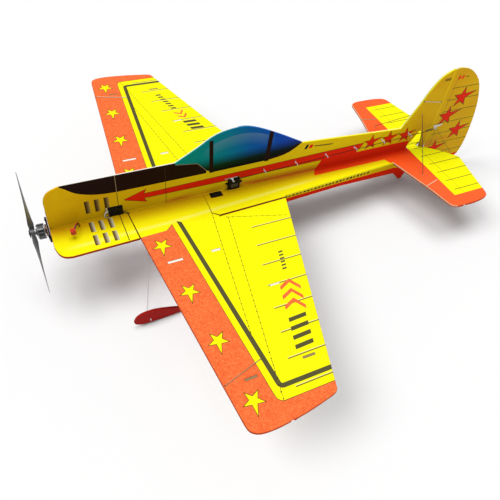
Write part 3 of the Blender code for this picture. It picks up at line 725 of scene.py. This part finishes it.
def wing_prints(side):
    """Layers of one wing's upper face."""
    corner = arc((206.6, 363.3), 10.2, 180, 90, 5)
    border = [(162.8, 60.4), (172.9, 51.2), *corner, (330, 373.5)]
    layers = [(band(border, 1.3), "dark_line"),
              ([(100, 62.9), *border, (330, 430), (100, 430)], "orange")]
    outer = arc((213.2, 350), 8.4, 180, 90, 5)
    inner = arc((213.6, 350), 2.0, 90, 180, 3)
    stripe = [(181.8, 46), *outer, (330, 358.4), (330, 352.0), *inner, (188.9, 50.5)]
    layers.append((stripe, "stripe"))
    for number in range(8):
        y = RIB_FIRST_Y + RIB_PITCH * number
        start = RIB_START_X - 8.9 * number if number < 7 else LAST_RIB_START_X
        # The pale stroke beside each rib line is a painted highlight along its edge.
        layers += lined([(start, y - 1.3), (PAST_TRAILING_EDGE, y - 1.3)], 0.9, "edge_pale")
        layers += lined([(start, y), (PAST_TRAILING_EDGE, y)], 1.6, "line")
    for path in (((240.8, 48), (234.2, 88.8), (205, 281)), ((261.7, 65.3), (209.7, 344), (204.6, 371)),
                 ((259.7, 63.3), (352.5, 89.8))):
        layers += seam(path, 0.6, "line", 9, 1.0, "dark_line")
    layers = [(flipped(outline, side), ink) for outline, ink in layers + aileron_flash(side)]
    for x, y in WING_STAR_CENTRES:
        layers += star_layers((x, side * y), 13.8, 2.2, STAR_TURN, 1.38, "yellow")
    return layers


def underside_prints():
    """A yellow band between two thin black ones across each wing."""
    bands = ((250, 330, "yellow"), (336, 342, "black"), (238, 244, "black"))
    layers = [(rectangle(90, 400, low, high), ink) for low, high, ink in bands]
    return both_sides(layers)


def louvres(low, high):
    """A row of three louvres that reach from low to high across the row."""
    starts = [LOUVRE_X + LOUVRE_PITCH * column for column in range(3)]
    return [(rectangle(x, x + LOUVRE_WIDTH, low, high), "louvre") for x in starts]


def floor_prints():
    """The nose and tail floors: louvres, a cut line and the orange tail."""
    layers = louvres(7, 28) + louvres(35, 56) + lined([(103.8, 3), (103.8, 62)], 1.3, "dark_line")
    tail = [(457.6, -1), (447.5, 17.5), (600, 18), (605, 31), (620, 400), (700, 400), (700, -1)]
    layers.append((tail, "tail"))
    return both_sides(layers)


def elevator_prints():
    """Orange tips, rib lines and a dotted seam."""
    layers = [(rectangle(650, 770, 144.2, 180), "tail")]
    for number in range(6):
        y = 7.8 + TAIL_RIB_PITCH * number
        layers += lined([(676, y), (770, y)], 1.5, "line")
    layers += seam([(688.3, 12), (688.3, 143)], 0.5, "line", 8, 0.7, "line")
    return both_sides(layers)


def side_prints():
    """The upper vertical sheet: nose, canopy, arrow and deck, in the X and Z directions."""
    glare = curve([(22, 80), (32.1, 72.4), (44.9, 61.2), (57.7, 54.8), (70.4, 50.8), (88.3, 47.8),
                   (108.7, 46.7)], 3)
    sill = [(196.4, 74.6), (232.1, 68.8), (247.4, 51.8)]
    glare += [(247.4, 46.4), *sill[::-1], (196.4, 90)]
    tail_end = [(353.6, 46.6), (369, 47.9), (389.3, 51.8), (404.6, 59.1)]
    canopy = [(196.4, 78), *sill, (258, 45.6), *curve([*tail_end, (419, 70)], 3), (419, 140), (196.4, 140)]
    rear = curve([*tail_end, (416.8, 68.5)], 3)
    rear += curve([(408, 68.5), (398, 61.5), (384, 56), (369, 52.5), (353.6, 51)], 3)
    layers = [(glare, "black"), (canopy, "canopy"), (rear, "black"),
              ([(252.5, 45), (259.2, 45), (257.0, 107), (250.5, 107)], "black"),
              ([(350.0, 45), (358.3, 45), (360.5, 104), (353.2, 108)], "black"),
              (band(sill, 1.0), "tan")]
    layers += arrow_layers()
    layers += lined([(104.6, 80), (104.6, 46.5)], 1.0, "tan")
    layers += lined([(104.6, 46.5), (104.6, 19)], 0.9, "dark_line")
    layers += lined([(180.1, 74), (180.1, 3)], 0.8, "dark_line")
    layers += louvres(16.5, 40.8)
    layers += [(leaning_bar(*FIN_ROW, 1.5 + 4.6 * i, 2.8, -2.5, 3), "black") for i in range(3)]
    for ink, *sizes in (("black", 0, 5, -1, 8), ("red", 8, 7, 0, 7), ("dark_line", 19, 38, 2, 4)):
        layers.append((leaning_bar(*DECK_ROW, *sizes), ink))
    for x in (568.9, 608.7, 646.4):
        layers += star_layers((x, 36.7), 15.6, 2.2, 18, 1.45, "red")
    return layers


def arrow_layers():
    """Long red arrow along the side, joined to the red lower part of the rear deck."""
    head = [(113.8, 27.5), (148.3, 39.8), (144.6, 31.8), (353.6, 35.2), (470.9, 37.7), (552.5, 38.7),
            (539.8, 21.0), (353.6, 21.0), (144.6, 23.2), (148.3, 15.3)]
    deck = [(457.6, 1), (466.8, 21.1), (662, 21.1), (662, 1)]
    return [(band(head + head[:1], 1.6), "dark_line"), (head, "red"), (deck, "red")]


def fin_prints():
    """The fin and rudder above and behind the hinge: small marks, rib lines, seams and stars."""
    layers = [(leaning_bar(*FIN_ROW, 31 + 8 * i, 5, -3.5, 4), "red") for i in range(2)]
    layers.append((leaning_bar(*FIN_ROW, 49, 8, -0.5, 1), "dark_line"))
    for number in range(7):
        z = 121.9 - TAIL_RIB_PITCH * number
        layers += lined([(718, z), (840, z)], 1.4, "line")
    for path in (((720.9, 37.7), (794.4, -36.8)), ((722, 150), (722, -45))):
        layers += seam(path, 0.7, "line", 8, 0.7, "line")
    for centre in ((753.3, 98.9), (735.2, 61.2), (778.1, 22.4), (736.2, -15.3)):
        layers += star_layers(centre, 19.5, 3.4, 18, 1.5, "red")
    layers.append(([(790, -40), (830, -40), (830, -60), (795, -60)], "red"))
    return layers


def lower_side_prints():
    """Yellow, in the gold of painted shade, above a red lower edge, with a row of dark dashes where the two meet.
    """
    edge = [(-5, -52), (412, -55.1), (522, -48), (636, -42.9), (650, -42), (720, -60), (720, 5), (-5, 5)]
    row = Vector((405, -53)), Vector((1, 0.066)).normalized()
    dashes = [(leaning_bar(*row, 7.8 * i, 4.6 - 1.5 * (i % 3 == 1), 0, 5), "dark_line") for i in range(24)]
    return [(edge, "side"), *dashes]


# ---- rims, sheets, tabs and films

HINGE_LENGTH = 300               # past the wing tip


def aileron_hinge(side):
    """The ends of an aileron's hinge line, in X and Y."""
    name = LEFT_RIGHT[side] + "_aileron_hinge"
    start = joint_mm(name)
    end = start + Vector(JOINTS[name]["axis"]) * HINGE_LENGTH
    return (start.x, start.y), (end.x, end.y)


SHEET_THICK = 4.0
FACE = SHEET_THICK / 2           # the faces' distance from the sheet's middle
BEVEL_REACH = SHEET_THICK * math.tan(math.radians(50))
SLOT_SIZE = 45                   # the wing's openings that are longer than this along X are no slots
FAR_OUT_Y = 300                  # slots farther out than this are filled with tan, a painted shadow, the others with cream
CENTRE_HALF = 62.9               # half the width of the wing's centre section


def wing_edge(point, out, ink):
    """White in the cut slots near the root, tan as painted shadow in those near the tips, dark against the floor
    sheets.
    """
    if abs(point.y) < CENTRE_HALF and abs(out.x) > 0.5:
        return "edge_dark"
    return slot_edge(point) or printed_edge(point, out, ink)


def slot_edge(point):
    """The ink of a rim point that lies on a slot, or None."""
    for loop in SLOTS:
        if min((Vector(p) - point).length for p in loop) < 1.0:
            return "cream" if abs(point.y) < FAR_OUT_Y else "tan"
    return None


def nose_edge(point, out, ink):
    return "edge_dark" if out.x > 0.5 else "edge_red"


def tail_floor_edge(point, out, ink):
    """Red beside the ailerons, bright yellow along the body, pale at the stabilizer's leading edge."""
    if point.x < 260:
        return "edge_yellow"
    if point.x < 372:
        return "edge_red"
    if abs(point.y) < 42 and abs(out.y) > 0.5:
        return "edge_bright"
    return ("edge_cream", "edge_orange") if out.x < -0.3 else "edge_orange"


def aileron_edge(point, out, ink):
    if abs(point.y) < 62:
        return "edge_red"
    return slot_edge(point) or printed_edge(point, out, ink)


CANOPY_PEAK_X, CANOPY_REAR_X = 300, 419


def side_edge(point, out, ink):
    """The port half keeps the print; the other half is white ahead, bluish by the canopy, pale behind."""
    if out.y < 0.2:
        return "edge_yellow"
    if point.x < CANOPY_PEAK_X:
        return (ink, "cream")
    return (ink, "edge_blue") if point.x < CANOPY_REAR_X else ("edge_bright", "edge_pale")


def fin_edge(point, out, ink):
    return ("edge_pale", "cream") if out.y > -0.3 and out.x < 0.5 else "edge_yellow"


def build_sheets():
    """Every foam sheet with its print, in place of its CAD node."""
    under = underside_prints()
    wings = wing_prints(-1) + wing_prints(1)
    floor = floor_prints()
    centre = [([(100, -62.9), (240, -56), (260, -55), (260, 55), (240, 56), (100, 62.9)], "body")]
    foam_sheet("nose_floor", "XY", floor, [], "body", "red", nose_edge)
    foam_sheet("wing", "XY", centre + wings, under, "yellow", "red", wing_edge)
    for side, word in LEFT_RIGHT.items():
        foam_sheet(word + "_aileron", "XY", wing_prints(side), under, "yellow", "red", aileron_edge,
                   hinge=(*aileron_hinge(side), BEVEL_REACH))
    foam_sheet("stabilizer", "XY", floor, [], "body", "red", tail_floor_edge)
    hinge = joint_mm("elevator_hinge")
    foam_sheet("elevator", "XY", elevator_prints(), [], "yellow", "red",
               hinge=((hinge.x, -100), (hinge.x, 100), BEVEL_REACH))
    sides = side_prints()
    # The upright sheets take the side ink: yellow print deepened to gold, painted shade.
    foam_sheet("fuselage_top", "XZ", sides, sides, "side", "side", side_edge)
    lower = lower_side_prints()
    foam_sheet("fuselage_bottom", "XZ", lower, lower, "red", "red")
    hinge = joint_mm("rudder_hinge")
    fins = fin_prints()
    foam_sheet("rudder", "XZ", fins, fins, "side", "side", fin_edge,
               hinge=((hinge.x, -40), (hinge.x, 150), BEVEL_REACH))


def sheet_slots(node):
    """The closed outlines of the openings cut in a flat sheet, without the wing's largest ones."""
    loops = sheet_rims(node, "XY", box_mm(node)[1].z)[1:]
    return [loop for loop in loops if node != "wing"
            or max(p[0] for p in loop) - min(p[0] for p in loop) < SLOT_SIZE]


SLOT_NODES = ("wing", "left_aileron", "right_aileron")
SLOTS_OF = {node: sheet_slots(node) for node in SLOT_NODES}
SLOTS = [loop for loops in SLOTS_OF.values() for loop in loops]


def slab_piece(name, outline, low, high, material, body="airframe"):
    """A closed plate with a level outline, its upper edges softened."""
    if area(outline) < 0:
        outline = outline[::-1]
    rings = []
    for z, pull in ((low, 0.05), (high - 0.2, 0.05), (high, 0.2)):
        rings.append([(x, y, z) for x, y in inset(outline, pull)])
    return lofted(name, rings, material, body, smooth=False)


TAB_LOW, TAB_HIGH = -1.8, 1.7    # just inside the sheet's faces


def fill_slots():
    """Foam tabs glued in the cut slots of the wing and ailerons; the tan of those near the tips is painted shadow.
    """
    for node, loops in SLOTS_OF.items():
        for number, loop in enumerate(loops, 1):
            ink = INK["tan" if abs(loop[0][1]) > FAR_OUT_Y else "cream"]
            slab_piece(f"{node}_tab_{number}", loop, TAB_LOW, TAB_HIGH, ink, BODY_OF[node])


SKIN_RISE, SKIN_DEPTH, SKIN_CELL = 0.16, 0.10, 0.9
SKIN_STEPS = (-1.5, -0.8, -0.3, 0.3, 0.8, 1.5)
SKIN_GAP = 3.0                   # from the hinge's inner end to the film


def hinge_skin(name, plane, start, end, level, layers, base):
    """The printed film that bridges a hinge line."""
    start, end = Vector(start), Vector(end)
    across = aft_normal(start, end)
    count = max(2, int((end - start).length / SKIN_CELL))
    lanes = range(len(SKIN_STEPS) - 1)
    built = bmesh.new()

    def grid(rise):
        rows = []
        for i in range(count + 1):
            places = [start + (end - start) * i / count + across * step for step in SKIN_STEPS]
            rows.append([built.verts.new(spot(plane, level, *p, rise) * MM) for p in places])
        return rows

    top, low = grid(SKIN_RISE), grid(SKIN_RISE - SKIN_DEPTH)
    centres = []
    for i in range(count):
        middle = start + (end - start) * (i + 0.5) / count
        centres += [tuple(middle + across * (SKIN_STEPS[k] + SKIN_STEPS[k + 1]) / 2) for k in lanes]
    inks = iter(painted(centres, layers, base))
    for i in range(count):
        for k in lanes:
            number = INK_ORDER.index(next(inks))
            for g in (top, low):
                face = built.faces.new([g[i][k], g[i][k + 1], g[i + 1][k + 1], g[i + 1][k]])
                face.material_index = number
        for k in (0, -1):
            built.faces.new([top[i][k], top[i + 1][k], low[i + 1][k], low[i][k]])
    for k in lanes:
        for i in (0, count):
            built.faces.new([top[i][k], top[i][k + 1], low[i][k + 1], low[i][k]])
    piece = add_piece(name, built, INK.values())
    middle = (start + end) / 2
    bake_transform(piece)


def hinge_skins():
    """A printed film over each hinge: two for the elevator and the rudder, which their notches divide."""
    for side, word in LEFT_RIGHT.items():
        name = word + "_aileron"
        near, far = (Vector(p) for p in aileron_hinge(side))
        direction = (far - near).normalized()
        direction *= side * math.copysign(1, direction.y)
        tip = abs(box_mm(name)[0 if side < 0 else 1].y) + 0.3
        length = (tip - abs(near.y)) / abs(direction.y)
        hinge_skin(name + "_skin", "XY", near + direction * SKIN_GAP, near + direction * length, FACE,
                   wing_prints(side), "yellow")
    x = joint_mm("elevator_hinge").x
    tip = box_mm("stabilizer")[1].y - 0.1
    layers = [(rectangle(x, x + 9, -200, 200), "yellow")] + elevator_prints()
    for side, word in LEFT_RIGHT.items():
        hinge_skin("elevator_skin_" + word, "XY", (x, side * 3.5), (x, side * tip), FACE, layers, "tail")
    x = joint_mm("rudder_hinge").x
    for name, low, high in (("rudder_skin_lower", -46, -4), ("rudder_skin_upper", 4, 160.8)):
        hinge_skin(name, "XZ", (x, low), (x, high), -FACE, fin_prints(), "side")


GLUE_RADIUS = 1.3
GLUE_SUNK = FACE - 0.1
GLUE_STEP = 6


def glue_beads():
    """Thin beads of glue in the corners where the upper side sheet stands on the floor."""
    # The front, middle and rear beads take the upright sheet's gold, which is painted shade.
    runs = (("front", 4, 87, "edge_gold_shade"), ("middle", 111, 282, "edge_gold_shade"), ("rear", 312, 457, "edge_gold_shade"),
            ("deck", 457, 660, "red"))
    for place, start, end, ink in runs:
        steps = max(2, int((end - start) / GLUE_STEP))
        for side, word in PORT_STARBOARD.items():
            rings = []
            for i in range(steps + 1):
                x = start + (end - start) * i / steps
                size = GLUE_RADIUS * (1 + 0.15 * math.sin(1.7 * i) + 0.1 * math.sin(4.1 * i + side))
                top = FACE + size
                waist = FACE + size * 0.35
                path = ((GLUE_SUNK, GLUE_SUNK), (top, GLUE_SUNK), (waist, waist), (GLUE_SUNK, top))
                rings.append([(x, side * y, z) for y, z in path])
            lofted(f"glue_bead_{place}_{word}", rings, INK[ink])


def joint_films():
    """Dried glue over the joint between the wing's centre section and the tail floor."""
    for side, word in PORT_STARBOARD.items():
        path = [(243.7, side * 2.6), (241.2, side * 46.8)]
        slab_piece("joint_film_" + word, band(path, 0.9), 1.95, 2.05, INK["edge_yellow"])


# ---- carried-over CAD nodes

TURNED = {"metallic": 1.0, "grain": 2500, "strength": 0.1}
SLEEVE = {"grain": 1800, "strength": 0.2}
BLACK = simple("black_nylon", (0.006, 0.006, 0.007), 0.42, **{"Specular IOR Level": 0.12})
WHITE = simple("white_nylon", (0.95, 0.94, 0.90), 0.38, vary=0.05)
STEEL = simple("turned_steel", (0.55, 0.55, 0.57), 0.28, **TURNED)
DARK_STEEL = simple("dark_steel", (0.16, 0.16, 0.17), 0.25, **TURNED)
CAN = simple("motor_can_black", (0.018, 0.019, 0.020), 0.25, 0.25, grain=2500, strength=0.1)
RUBBER = simple("rubber", (0.03, 0.028, 0.026), 0.75)
# One glass fibre in two copies: the pale one is painted light, the dark amber one painted shade.
GLASS_LIT_PALE = simple("glass_fibre_lit_pale", (0.92, 0.78, 0.55), 0.25, vary=0.1)
# The steel wire legs are near white: a painted reflection of the white studio around them.
LEG = simple("steel_wire_white_reflection", (0.97, 0.97, 0.97), 0.45, vary=0.04)

# A node's own look comes before that of its material slot in the record.
NODE_LOOKS = {
    "left_wing_strip": simple("glass_fibre_shaded_amber", (0.36, 0.15, 0.02), 0.25, vary=0.3),
    "right_wing_strip": GLASS_LIT_PALE, "left_stabilizer_strip": GLASS_LIT_PALE, "fin_strip": GLASS_LIT_PALE,
    "left_wheel_pant": INK["pant"], "right_wheel_pant": INK["pant"], "left_gear_leg": LEG,
    "right_gear_leg": LEG, "motor_bell": CAN, "prop_saver": DARK_STEEL, "motor_shaft": DARK_STEEL,
    "prop_band": BLACK,
}
SLOT_LOOKS = {
    "carbon": simple("carbon", (0.035, 0.034, 0.036), 0.38, grain=1500),
    "winding": simple("copper_winding", (0.13, 0.05, 0.02), 0.35, 0.7, grain=2200, strength=0.5),
    "prop_plastic": simple("propeller_grey", (0.075, 0.073, 0.078), 0.36, vary=0.15),
    "red_plastic": simple("connector_red", (0.70, 0.03, 0.015), 0.35, vary=0.15),
    "battery_wrap": simple("battery_wrap", (0.03, 0.09, 0.40), 0.3),
    "glass_fibre": simple("glass_fibre_strip", (0.62, 0.47, 0.22), 0.25, vary=0.2),
    "black_plastic": BLACK, "rod_black": BLACK, "white_plastic": WHITE, "steel": STEEL, "rubber": RUBBER,
    "wheel_foam": RUBBER, "red_foam": INK["red"], "printed_foam": INK["yellow"],
}
BEVELS = {"speed_controller": 1.2, "receiver": 0.8, "battery": 2.2, "battery_connector": 0.7,
          "aileron_servo": 0.5, "elevator_servo": 0.5, "rudder_servo": 0.5, "gear_mount": 0.8,
          "left_wheel_pant": 1.2, "right_wheel_pant": 1.2, "motor_mount": 0.3}
GUIDE_LENGTH_SHARE, GUIDE_HEIGHT_SHARE = 0.5, 0.78
GUIDE_HOLE_REACH = 1.5           # what lies nearer than this to a guide's middle stays, so its hole does


def dress_nodes():
    """A material for every CAD node."""
    for entry in frame["record"]["subparts"]:
        materials = NODES[entry["node"]].data.materials
        materials.clear()
        materials.append(NODE_LOOKS.get(entry["node"], SLOT_LOOKS[entry["material_slot"]]))


def stand_in(node, suffix):
    """A copy of a CAD node's mesh, as a new piece that replaces the node."""
    copy = bpy.data.objects.new(node + suffix, NODES[node].data.copy())
    bpy.context.scene.collection.objects.link(copy)
    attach(copy, BODY_OF[node])
    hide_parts(node)
    return copy


def moulded_cases():
    """The boxes, pants and mounts again, with rounded edges."""
    for node, width in BEVELS.items():
        soft = stand_in(node, "_moulded").modifiers.new("soft_edges", "BEVEL")
        soft.width = width * MM
        soft.segments = 3
        soft.limit_method = "ANGLE"


def slim_guides():
    """The rod guides again, shorter along the rod and with thinner outer ends."""
    for number in range(1, 7):
        node = f"rod_guide_{number}"
        low, high = (Vector(corner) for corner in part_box(node))
        middle = (low + high) / 2
        for v in stand_in(node, "_slim").data.vertices:
            v.co.x = middle.x + (v.co.x - middle.x) * GUIDE_LENGTH_SHARE
            if abs(v.co.z - middle.z) > GUIDE_HOLE_REACH * MM:
                v.co.z = middle.z + (v.co.z - middle.z) * GUIDE_HEIGHT_SHARE


# ---- wires and small fittings

WIRE_BLACK = simple("wire_black", (0.012, 0.012, 0.013), 0.35, **SLEEVE)
WIRE_WHITE = simple("wire_white", (0.80, 0.78, 0.70), 0.35, **SLEEVE, vary=0.1)
WIRE_RED = simple("wire_red", (0.55, 0.02, 0.01), 0.35, **SLEEVE)
WIRE_BROWN = simple("wire_brown", (0.12, 0.045, 0.02), 0.4, **SLEEVE)
GLUE = simple("clear_glue", (0.90, 0.85, 0.62), 0.18, grain=700, strength=0.35, vary=0.15)
LABEL = simple("plain_label", (0.06, 0.055, 0.05), 0.3, vary=0.3)
OFF_AXIS = Vector((0.13, 0.21, 1))   # no lead runs along this direction


def ring(centre, side, top, radius, count):
    turns = [2 * math.pi * k / count for k in range(count)]
    return [centre + (side * math.cos(t) + top * math.sin(t)) * radius for t in turns]


def wire(name, points, radius, material, body="airframe"):
    """A round lead that runs smoothly through the points."""
    path = [Vector(p) for p in curve(points, 6)]
    rings = []
    for before, p, after in zip(path[:1] + path[:-1], path, path[1:] + path[-1:]):
        along = (after - before).normalized()
        side = along.cross(OFF_AXIS).normalized()
        rings.append(ring(p, side, along.cross(side), radius, 8))
    return lofted(name, rings, material, body)


def turned(name, profile, centre, axis, material, body, sides=24):
    """A turned piece: profile is a list of (distance along the axis, radius), closed at both ends."""
    axis = Vector(axis).normalized()
    side = axis.orthogonal().normalized()
    top = axis.cross(side)
    rings = [ring(Vector(centre) + axis * along, side, top, radius, sides) for along, radius in profile]
    return lofted(name, rings, material, body)


def screw(name, centre, axis, radius, body="airframe"):
    """A pan-head screw with a sunk round recess."""
    r = radius
    turned(name, [(0, r), (0.25 * r, r), (0.5 * r, 0.82 * r), (0.6 * r, 0.5 * r), (0.3 * r, 0.42 * r),
                  (0.3 * r, 0.05 * r)], centre, axis, STEEL, body, 12)


def blob(name, centre, size, material):
    """A flattened, slightly lumpy drop of glue or paint on the airframe."""
    built = bmesh.new()
    bmesh.ops.create_icosphere(built, subdivisions=3, radius=1)
    for v in built.verts:
        lump = 1 + 0.12 * math.sin(5 * v.co.x + 3 * v.co.y) + 0.08 * math.sin(7 * v.co.z - 2 * v.co.x)
        v.co = (Vector(centre) + Vector([c * s * lump for c, s in zip(v.co, size)])) * MM
    for face in built.faces:
        face.smooth = True
    return add_piece(name, built, [material], "airframe")


BELL_RADIUS = 11.7
SEAM_FRONT, SEAM_REAR, SEAM_HALF = -14.6, -8.2, 1


def motor_details():
    """Two bright rings and twelve magnet seams on the bell, the mount's screws and the three leads."""
    for number, (x, outer) in enumerate(((-16.0, 11.4), (-6.6, 11.78)), 1):
        profile = [(-0.5, outer - 0.5), (-0.45, outer + 0.02), (0.45, outer + 0.02), (0.5, outer - 0.5)]
        turned(f"motor_ring_{number}", profile, (x, 0, 0), (1, 0, 0), STEEL, "propeller_unit", 48)
    for number in range(1, 13):
        turn = math.radians(30 * (number - 1))
        across = Vector((0, -math.sin(turn), math.cos(turn)))
        out = Vector((0, math.cos(turn), math.sin(turn)))
        rings = []
        for lift in (-0.3, 0.12):
            half, place = across * (1 - lift), out * (BELL_RADIUS + lift)
            corners = rectangle(SEAM_FRONT, SEAM_REAR, -SEAM_HALF, SEAM_HALF)
            rings.append([Vector((x, 0, 0)) + half * w + place for x, w in corners])
        lofted(f"magnet_seam_{number}", rings, DARK_STEEL, "propeller_unit", smooth=False)
    for number, (y, z) in enumerate(((21, 0), (-21, 0), (0, 21), (0, -21)), 1):
        screw(f"mount_screw_{number}", (-2.6, y, z), (-1, 0, 0), 1.5)
    for number, shift in enumerate((-2.2, 0, 2.2), 1):
        path = [(-3.6, -4 + shift, -8.6), (-1.6, -6 + shift, -12), (4, -7 + shift, -12),
                (20, -6 + shift * 0.7, -6), (46, -5 + shift * 0.6, -3.6)]
        wire(f"motor_lead_{number}", path, 0.8, WIRE_BLACK)


def leads():
    """The battery's and connector's leads, the controller's lead and loop, and two servo leads."""
    for number, (y, material) in enumerate(((-1.3, WIRE_BLACK), (1.3, WIRE_RED)), 1):
        path = [(33, y - 29, 16.5), (36.5, y - 24, 19.5), (40.5, y * 0.6 - 16, 15), (42, y * 0.6 - 10, 7),
                (42, y * 0.6 - 8, 2.1)]
        wire(f"connector_lead_{number}", path, 1.0, material)
        path = [(123, y + 10, -18), (108, y + 9, -15), (80, y + 7, -9), (56, y + 5, -4.2)]
        wire(f"battery_lead_{number}", path, 1.1, material)
    for number, (z, material) in enumerate(((0, WIRE_WHITE), (1.6, WIRE_WHITE), (-1.5, WIRE_BLACK)), 1):
        path = [(89, -3.6, 12 + z * 0.5), (84.5, -5.4, 12.6 + z), (81.4 - z * 0.4, -6.4, 8.5),
                (84, -6.2, 4.4 - z * 0.2), (89, -4.6, 4.6)]
        wire(f"controller_loop_{number}", path, 0.62, material)
    path = [(109, -3.4, 7), (113, -5, 5.6), (117, -6, 3.2), (119, -6.6, 2.2)]
    wire("controller_lead", path, 0.8, WIRE_BLACK)
    for number, y in enumerate((-0.9, 0, 0.9), 1):
        path = [(250, y - 9, -12), (247, y - 8, -14), (245.5, y - 7, -17)]
        wire(f"elevator_servo_lead_{number}", path, 0.42, WIRE_BLACK)
        path = [(204.6, y, -14), (209, y - 2, -16), (214.5, y - 6, -18)]
        wire(f"aileron_servo_lead_{number}", path, 0.42, WIRE_BLACK)


def servo_details():
    """The rudder servo's label, a screw in each of its lugs and in each arm, and the wheels' hub caps."""
    slab_piece("rudder_servo_label", rectangle(291, 304, -5.9, -5.3), 6.5, 13.5, LABEL)
    for number, x in enumerate((283.2, 309.2), 1):
        screw(f"rudder_servo_screw_{number}", (x, -5.5, 12), (0, -1, 0), 0.8)
    screw("rudder_arm_screw", (293, 0, 24.6), (0, 0, 1), 1.1, "rudder_arm")
    screw("aileron_arm_screw", (187, 0, -24.6), (0, 0, -1), 1.1, "aileron_arm")
    screw("elevator_arm_screw", (259.5, -8.4, -19.6), (0, 0, -1), 1.1, "elevator_arm")
    cap = [(0, 3.2), (0.5, 3.0), (0.8, 1.6), (0.8, 0.2)]
    for side, word in LEFT_RIGHT.items():
        turned(word + "_hub_cap", cap, (108, side * 125.4, -107.5), (0, -side, 0), WHITE, word + "_wheel")


def glue_and_sleeves():
    """Drops of glue at the struts' and strips' ends and the sleeve at the rear end of the rudder's rod."""
    for side, word in LEFT_RIGHT.items():
        blob(word + "_strut_glue_low", (643.6, side * 79.2, 2.7), (1.0, 0.9, 0.5), GLUE)
        blob(word + "_strut_glue_high", (667.6, side * 3.2, 77.8), (0.9, 0.6, 1.0), GLUE)
        for end, (x, y) in enumerate(((145.9, 329.6), (202.4, 312.5)), 1):
            blob(f"{word}_strip_end_{end}", (x, side * y, 2.6), (1.0, 0.8, 0.4), WIRE_BROWN)
    for end, (x, z) in enumerate(((661, 105.1), (704, 97.3)), 1):
        blob(f"fin_strip_end_{end}", (x, -2.6, z), (1.3, 0.5, 1.3), WIRE_BLACK)
    wire("rudder_rod_sleeve", [(687, -9.9, 43.2), (703, -9.4, 44.5)], 0.95, WIRE_BLACK, "rudder_rod")


# ---- studio

GROUND_WHEEL = (108.0, -119.5)   # X and Z of the points that touch the ground
GROUND_SKID = (680.0, -77.0)
FLOOR_GAP = 0.6                  # keeps the floor clear of the wheels
FLOOR_SIZE_M = 30
SURROUND_STRENGTH = 0.34


def studio():
    """A pale floor under the wheels and tail, and a dim even surround."""
    slope = math.atan2(GROUND_SKID[1] - GROUND_WHEEL[1], GROUND_SKID[0] - GROUND_WHEEL[0])
    bpy.ops.mesh.primitive_plane_add(size=FLOOR_SIZE_M)
    floor = bpy.context.object
    floor.name = "studio_floor"
    floor.location = NOSE_M + Vector((GROUND_WHEEL[0], 0, GROUND_WHEEL[1] - FLOOR_GAP)) * MM
    floor.rotation_euler = (0, -slope, 0)
    n = Nodes("studio_floor")
    n.finish((0.90, 0.90, 0.90), 0.9, **{"Specular IOR Level": 0.0})
    floor.data.materials.append(n.material)

    world = bpy.data.worlds.new("studio")
    bpy.context.scene.world = world
    world.use_nodes = True
    surround = world.node_tree.nodes["Background"]
    surround.inputs["Color"].default_value = (1, 1, 1, 1)
    surround.inputs["Strength"].default_value = SURROUND_STRENGTH
    bpy.context.scene.view_settings.view_transform = "Standard"
    return floor


def linking(name, objects, state="INCLUDE"):
    """A light-linking collection that takes in the objects or leaves them out."""
    made = bpy.data.collections.new(name)
    for piece in objects:
        made.objects.link(piece)
    for held in made.collection_objects:
        held.light_linking.link_state = state
    return made


def lamps(floor):
    """A soft key light on the aeroplane, and two lights on the floor alone that give it its shadows."""
    only_floor = linking("lit_by_floor_light", [floor])
    not_floor = linking("lit_by_key", [floor], "EXCLUDE")
    meshes = [piece for piece in bpy.context.scene.objects if piece.type == "MESH"]
    wings = [piece for piece in meshes if "aileron" in piece.name or piece.name.startswith("wing")]
    no_wing = linking("shades_overhead_light", wings, "EXCLUDE")
    lights = (("key", 50, 2.55, (0.05, 0.15, 1.0), not_floor, None),
              ("floor_light_ahead", 34, 1.50, (-0.78, 0.10, 1.0), only_floor, None),
              ("floor_light_overhead", 34, 1.20, (0.0, 0.06, 1.0), only_floor, no_wing))
    for name, angle, energy, towards, receivers, blockers in lights:
        sun = bpy.data.lights.new(name, "SUN")
        sun.energy = energy
        sun.angle = math.radians(angle)
        lamp = bpy.data.objects.new(name, sun)
        bpy.context.scene.collection.objects.link(lamp)
        lamp.rotation_euler = Vector(towards).to_track_quat("Z", "Y").to_euler()
        lamp.light_linking.receiver_collection = receivers
        if blockers:
            lamp.light_linking.blocker_collection = blockers


CAMERA_PLACE = (9.75, -572.0, 557.1)
LENS = 35.78
SENSOR_WIDTH = 36


def camera():
    """The camera, above and to port of the nose; right and up are the picture's directions."""
    right = Vector((0.90552, -0.41335, 0.09582))
    back = right.cross(Vector((0.25124, 0.70431, 0.66397))).normalized()
    up = back.cross(right)
    data = bpy.data.cameras.new("camera")
    data.lens = LENS
    data.sensor_width = SENSOR_WIDTH
    cam = bpy.data.objects.new("camera", data)
    bpy.context.scene.collection.objects.link(cam)
    facing = Matrix((right, up, back)).transposed().to_4x4()
    cam.matrix_world = Matrix.Translation(NOSE_M + Vector(CAMERA_PLACE) * MM) @ facing
    bpy.context.scene.camera = cam


# ---- everything in its order

build_sheets()
joint_films()
fill_slots()
hinge_skins()
glue_beads()
dress_nodes()
moulded_cases()
slim_guides()
motor_details()
leads()
servo_details()
glue_and_sleeves()
lamps(studio())
camera()
